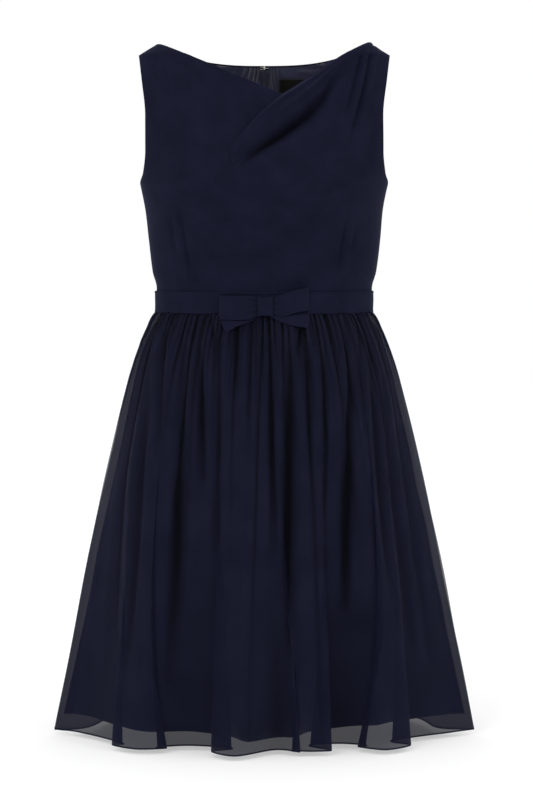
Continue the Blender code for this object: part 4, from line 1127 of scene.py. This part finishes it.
def zip_strip(half_width, inset, columns):
    """Points of a strip down the inside of the middle back, over the length of the zip."""
    stops = np.array((-ZIP_TOP, -SHOULDER_TIP * 3, -UNDERARM, -WAIST_SEAM, -ZIP_END))
    z = -fill_between(stops, ZIP_STEP)[:, None]
    x = np.linspace(half_width, -half_width, columns)[None, :]
    on_skirt = monotone(SKIRT_FORM, SKIRT_COLUMNS, "half_width", z)
    bend = np.where(z > WAIST_SEAM, ring_half_width(z), on_skirt)
    y = middle_back_y(z[:, 0])[:, None] * np.sqrt(1 - (x / bend) ** 2)
    return moved(np.stack(np.broadcast_arrays(x, y, z), axis=-1), -inset)


tape_points = zip_strip(ZIP_HALF_WIDTH, CLOTH + 2 * GAP + 0.0001, 15)
zip_tape = panel("zip_tape_cloth", tape_points, ZIP_TAPE, 0.0007)
sewn_on(zip_tape)


def mottled(name, kind, pattern, shades, roughness, settings=None, **surface):
    """A finish with one fine pattern, whose colour and roughness both vary between two values."""
    material, tree, shader = finish(name, **surface)
    place = add(tree, "ShaderNodeTexCoord")
    pattern = {"Vector": place.outputs["Object"], **pattern}
    marks = add(tree, kind, pattern, **(settings or {})).outputs["Fac"]
    tone = add(
        tree, "ShaderNodeMix", {"Factor": marks, 6: colour(shades[0]), 7: colour(shades[1])},
        data_type="RGBA",
    )
    gloss = add(
        tree, "ShaderNodeMapRange", {"Value": marks, "To Min": roughness[0], "To Max": roughness[1]},
    )
    tree.links.new(tone.outputs[2], shader.inputs["Base Color"])
    tree.links.new(gloss.outputs[0], shader.inputs["Roughness"])
    return material


# Nylon monofilament, dyed navy and smooth, so each turn of the coil has a small bright line
NYLON = mottled(
    "nylon_coil", "ShaderNodeTexNoise", {"Scale": 900.0, "Detail": 2.0},
    shades=("#131526", "#24273f"), roughness=(0.28, 0.42), Specular_IOR_Level=0.5, IOR=1.53,
)


def line_mesh(name, lines):
    """A mesh of edges only, one run of points after another, for the node trees to follow."""
    points, edges = [], []
    for line in lines:
        edges += [(len(points) + i, len(points) + i + 1) for i in range(len(line) - 1)]
        points += [tuple(p) for p in line]
    mesh = bpy.data.meshes.new(name)
    mesh.from_pydata(points, edges, [])
    return put(name, mesh)


def repeated(name, lines, spacing, size, material, across=False, sides=6):
    """Small rounded bars set out along lines by a node tree, as one plain mesh.

    size is a bar's length and thickness. Bars lie along the line, or across it and level.
    """
    values = {"Spacing": spacing, "Length": size[0], "Thickness": size[1]}
    tree = bpy.data.node_groups.new(name + "_nodes", "GeometryNodeTree")
    tree.interface.new_socket("Lines", in_out="INPUT", socket_type="NodeSocketGeometry")
    for label in values:
        tree.interface.new_socket(label, in_out="INPUT", socket_type="NodeSocketFloat")
    tree.interface.new_socket("Bars", in_out="OUTPUT", socket_type="NodeSocketGeometry")
    given = add(tree, "NodeGroupInput")
    run = add(tree, "GeometryNodeMeshToCurve", {"Mesh": given.outputs["Lines"]})
    spots = add(
        tree, "GeometryNodeCurveToPoints", {"Curve": run.outputs[0], "Length": given.outputs["Spacing"]},
        mode="LENGTH",
    )
    bar = add(tree, "GeometryNodeMeshUVSphere", {"Segments": sides, "Rings": 4, "Radius": 0.5})
    grow = add(
        tree, "ShaderNodeCombineXYZ",
        {"X": given.outputs["Thickness"], "Y": given.outputs["Thickness"], "Z": given.outputs["Length"]},
    )
    shaped = add(tree, "GeometryNodeTransform", {"Geometry": bar.outputs["Mesh"], "Scale": grow.outputs[0]})
    direction = (1.0, 0.0, 0.0) if across else spots.outputs["Tangent"]
    aim = add(tree, "FunctionNodeAlignRotationToVector", {"Vector": direction}, axis="Z")
    placed = add(
        tree, "GeometryNodeInstanceOnPoints",
        {"Points": spots.outputs["Points"], "Instance": shaped.outputs[0], "Rotation": aim.outputs[0]},
    )
    real = add(tree, "GeometryNodeRealizeInstances", {"Geometry": placed.outputs[0]})
    smooth = add(tree, "GeometryNodeSetShadeSmooth", {"Geometry": real.outputs[0]})
    made_of = add(tree, "GeometryNodeSetMaterial", {"Geometry": smooth.outputs[0], "Material": material})
    add(tree, "NodeGroupOutput", {"Bars": made_of.outputs[0]})
    guide = line_mesh(name + "_lines", lines)
    nodes = guide.modifiers.new("bars", "NODES")
    nodes.node_group = tree
    for socket in tree.interface.items_tree:
        if socket.name in values:
            nodes[socket.identifier] = values[socket.name]
    made = bpy.data.meshes.new_from_object(guide.evaluated_get(bpy.context.evaluated_depsgraph_get()))
    made.name = name
    bpy.data.objects.remove(guide)
    return put(name, made)


coil_line = zip_strip(COIL_HALF_WIDTH, CLOTH + 2 * GAP + TAPE + GAP + 0.0004, 3)[:, 1]
coil_turn = (2 * COIL_HALF_WIDTH, COIL_THICKNESS)
coil = repeated("zip_coil_turns", [coil_line], COIL_PITCH, coil_turn, NYLON, across=True)
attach(coil, "dress")
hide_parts("zip_coil")


# ---------------------------------------------------------------------------------------------
# Zip slider with its pull tab, and the hook and eye above them. Small die-cast and bent-wire
# metal fittings, plated. Their solids stay, and the slider and the tab get rounded edges.

FITTING_EDGE = 0.00025
FLAT_ANGLE = 0.02
# Nickel-plated zinc and steel: pale warm grey metal, with fine brushing and rubbed marks
NICKEL = mottled(
    "nickel_plated_metal", "ShaderNodeTexNoise", {"Scale": 700.0, "Detail": 4.0},
    shades=("#a9a69f", "#cfccc5"), roughness=(0.18, 0.38), Metallic=1.0,
)
tree = NICKEL.node_tree
place = add(tree, "ShaderNodeTexCoord")
grain = add(tree, "ShaderNodeTexNoise", {"Vector": place.outputs["Object"], "Scale": 4000.0, "Detail": 1.0})
dents = add(tree, "ShaderNodeBump", {"Strength": 0.3, "Distance": 0.00003, "Height": grain.outputs["Fac"]})
tree.links.new(dents.outputs["Normal"], tree.nodes["Principled BSDF"].inputs["Normal"])

for node, body in (("zip_slider", "dress"), ("zip_pull", "zip_pull")):
    shape = bmesh.new()
    shape.from_mesh(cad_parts[node].data)
    bmesh.ops.remove_doubles(shape, verts=shape.verts, dist=1e-6)
    flat = [edge for edge in shape.edges if edge.calc_face_angle(0) < FLAT_ANGLE]
    bmesh.ops.dissolve_edges(shape, edges=flat, use_verts=True)
    mesh = bpy.data.meshes.new(node + "_metal")
    shape.to_mesh(mesh)
    shape.free()
    mesh.materials.clear()
    mesh.materials.append(NICKEL)
    piece = put(node + "_metal", mesh)
    rounding = piece.modifiers.new("rounding", "BEVEL")
    rounding.width = FITTING_EDGE
    rounding.segments = 3
    rounding.limit_method = "ANGLE"
    rounding.angle_limit = math.radians(30)
    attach(piece, body)
    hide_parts(node)

for node in ("neck_hook", "neck_eye"):
    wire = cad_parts[node]
    wire.data.materials.clear()
    wire.data.materials.append(NICKEL)


# ---------------------------------------------------------------------------------------------
# Stitching. Fine polyester thread in the cloth's colour: lockstitch along the rolled hem of the
# chiffon, small stitches round the label, and felling where the back lining meets the zip tapes.

# Spun polyester thread, a little lighter than the cloth as a painted highlight for its round strands
THREAD = mottled(
    "polyester_thread", "ShaderNodeTexWave", {"Scale": 700.0, "Distortion": 1.0},
    shades=("#15172a", "#272a44"), roughness=(0.6, 0.8), settings={"bands_direction": "DIAGONAL"},
    Sheen_Weight=0.3,
)

hem_lines = [0.7 * edges[1] + 0.3 * edges[0] for edges in hem_edges]
label_face = moved(label_points, -0.0007)
label_lines = (label_face[1], label_face[-2], label_face[:, 1], label_face[:, -2])
for name, lines, pitch, stitch, slot in (
    ("hem_stitches", hem_lines, 0.0026, (0.0019, 0.00040), "chiffon"),
    ("label_stitches", label_lines, 0.0022, (0.0016, 0.00035), "label_ribbon"),
    ("felling_stitches", felled_lines, 0.0050, (0.0016, 0.00040), "lining"),
):
    stitches = repeated(name, lines, pitch, stitch, THREAD, sides=4)
    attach(stitches, "dress")


# ---------------------------------------------------------------------------------------------
# Studio. A plain white floor just under the hem, white all round, a large soft light from the
# upper left and a weaker one from the right. The camera stands level with the lower ribs and
# looks a little down.

FLOOR_Z = HEM - 0.0075
FLOOR_HALF = 9.0
CAMERA_DISTANCE = 3.3
CAMERA_HEIGHT = -0.2768
CAMERA_X = 0.0030
CAMERA_TILT = math.radians(3.51)
CAMERA_LENS = 109.98
SENSOR_WIDTH = 36
LIT_POINT = (0, 0, -0.45)

floor_mesh = bpy.data.meshes.new("studio_floor")
corners = [(sx * FLOOR_HALF, sy * FLOOR_HALF, FLOOR_Z) for sx, sy in ((-1, -1), (1, -1), (1, 1), (-1, 1))]
floor_mesh.from_pydata(corners, [], [(0, 1, 2, 3)])
put("studio_floor", floor_mesh)
# White paper, lit a little from below so that the shadow on it stays pale
PAPER = finish(
    "white_paper", Base_Color=(0.60, 0.60, 0.60, 1), Roughness=0.9, Emission_Color=colour("#ffffff"),
    Emission_Strength=0.42,
)[0]
floor_mesh.materials.append(PAPER)

world = bpy.data.worlds.new("studio_white")
world.use_nodes = True
world.node_tree.nodes["Background"].inputs["Color"].default_value = colour("#ffffff")
world.node_tree.nodes["Background"].inputs["Strength"].default_value = 1.0
bpy.context.scene.world = world


def soft_light(name, place, size, power):
    """A square soft light that faces the middle of the dress."""
    light = bpy.data.lights.new(name, "AREA")
    light.shape = "SQUARE"
    light.size = size
    light.energy = power
    lamp = put(name, light)
    lamp.location = place
    direction = Vector(LIT_POINT) - Vector(place)
    lamp.rotation_mode = "QUATERNION"
    lamp.rotation_quaternion = direction.to_track_quat("-Z", "Y")


soft_light("key_light", (-1.3, -2.4, 1.6), size=1.2, power=22)
soft_light("fill_light", (2.2, -1.8, 0.6), size=1.4, power=7)

camera = bpy.data.cameras.new("studio_camera")
camera.sensor_width = SENSOR_WIDTH
camera.lens = CAMERA_LENS
camera.clip_end = 60
viewer = put("studio_camera", camera)
viewer.location = (CAMERA_X, -CAMERA_DISTANCE, CAMERA_HEIGHT)
viewer.rotation_euler = (math.pi / 2 - CAMERA_TILT, 0, 0)
bpy.context.scene.camera = viewer
bpy.context.scene.view_settings.view_transform = "Standard"
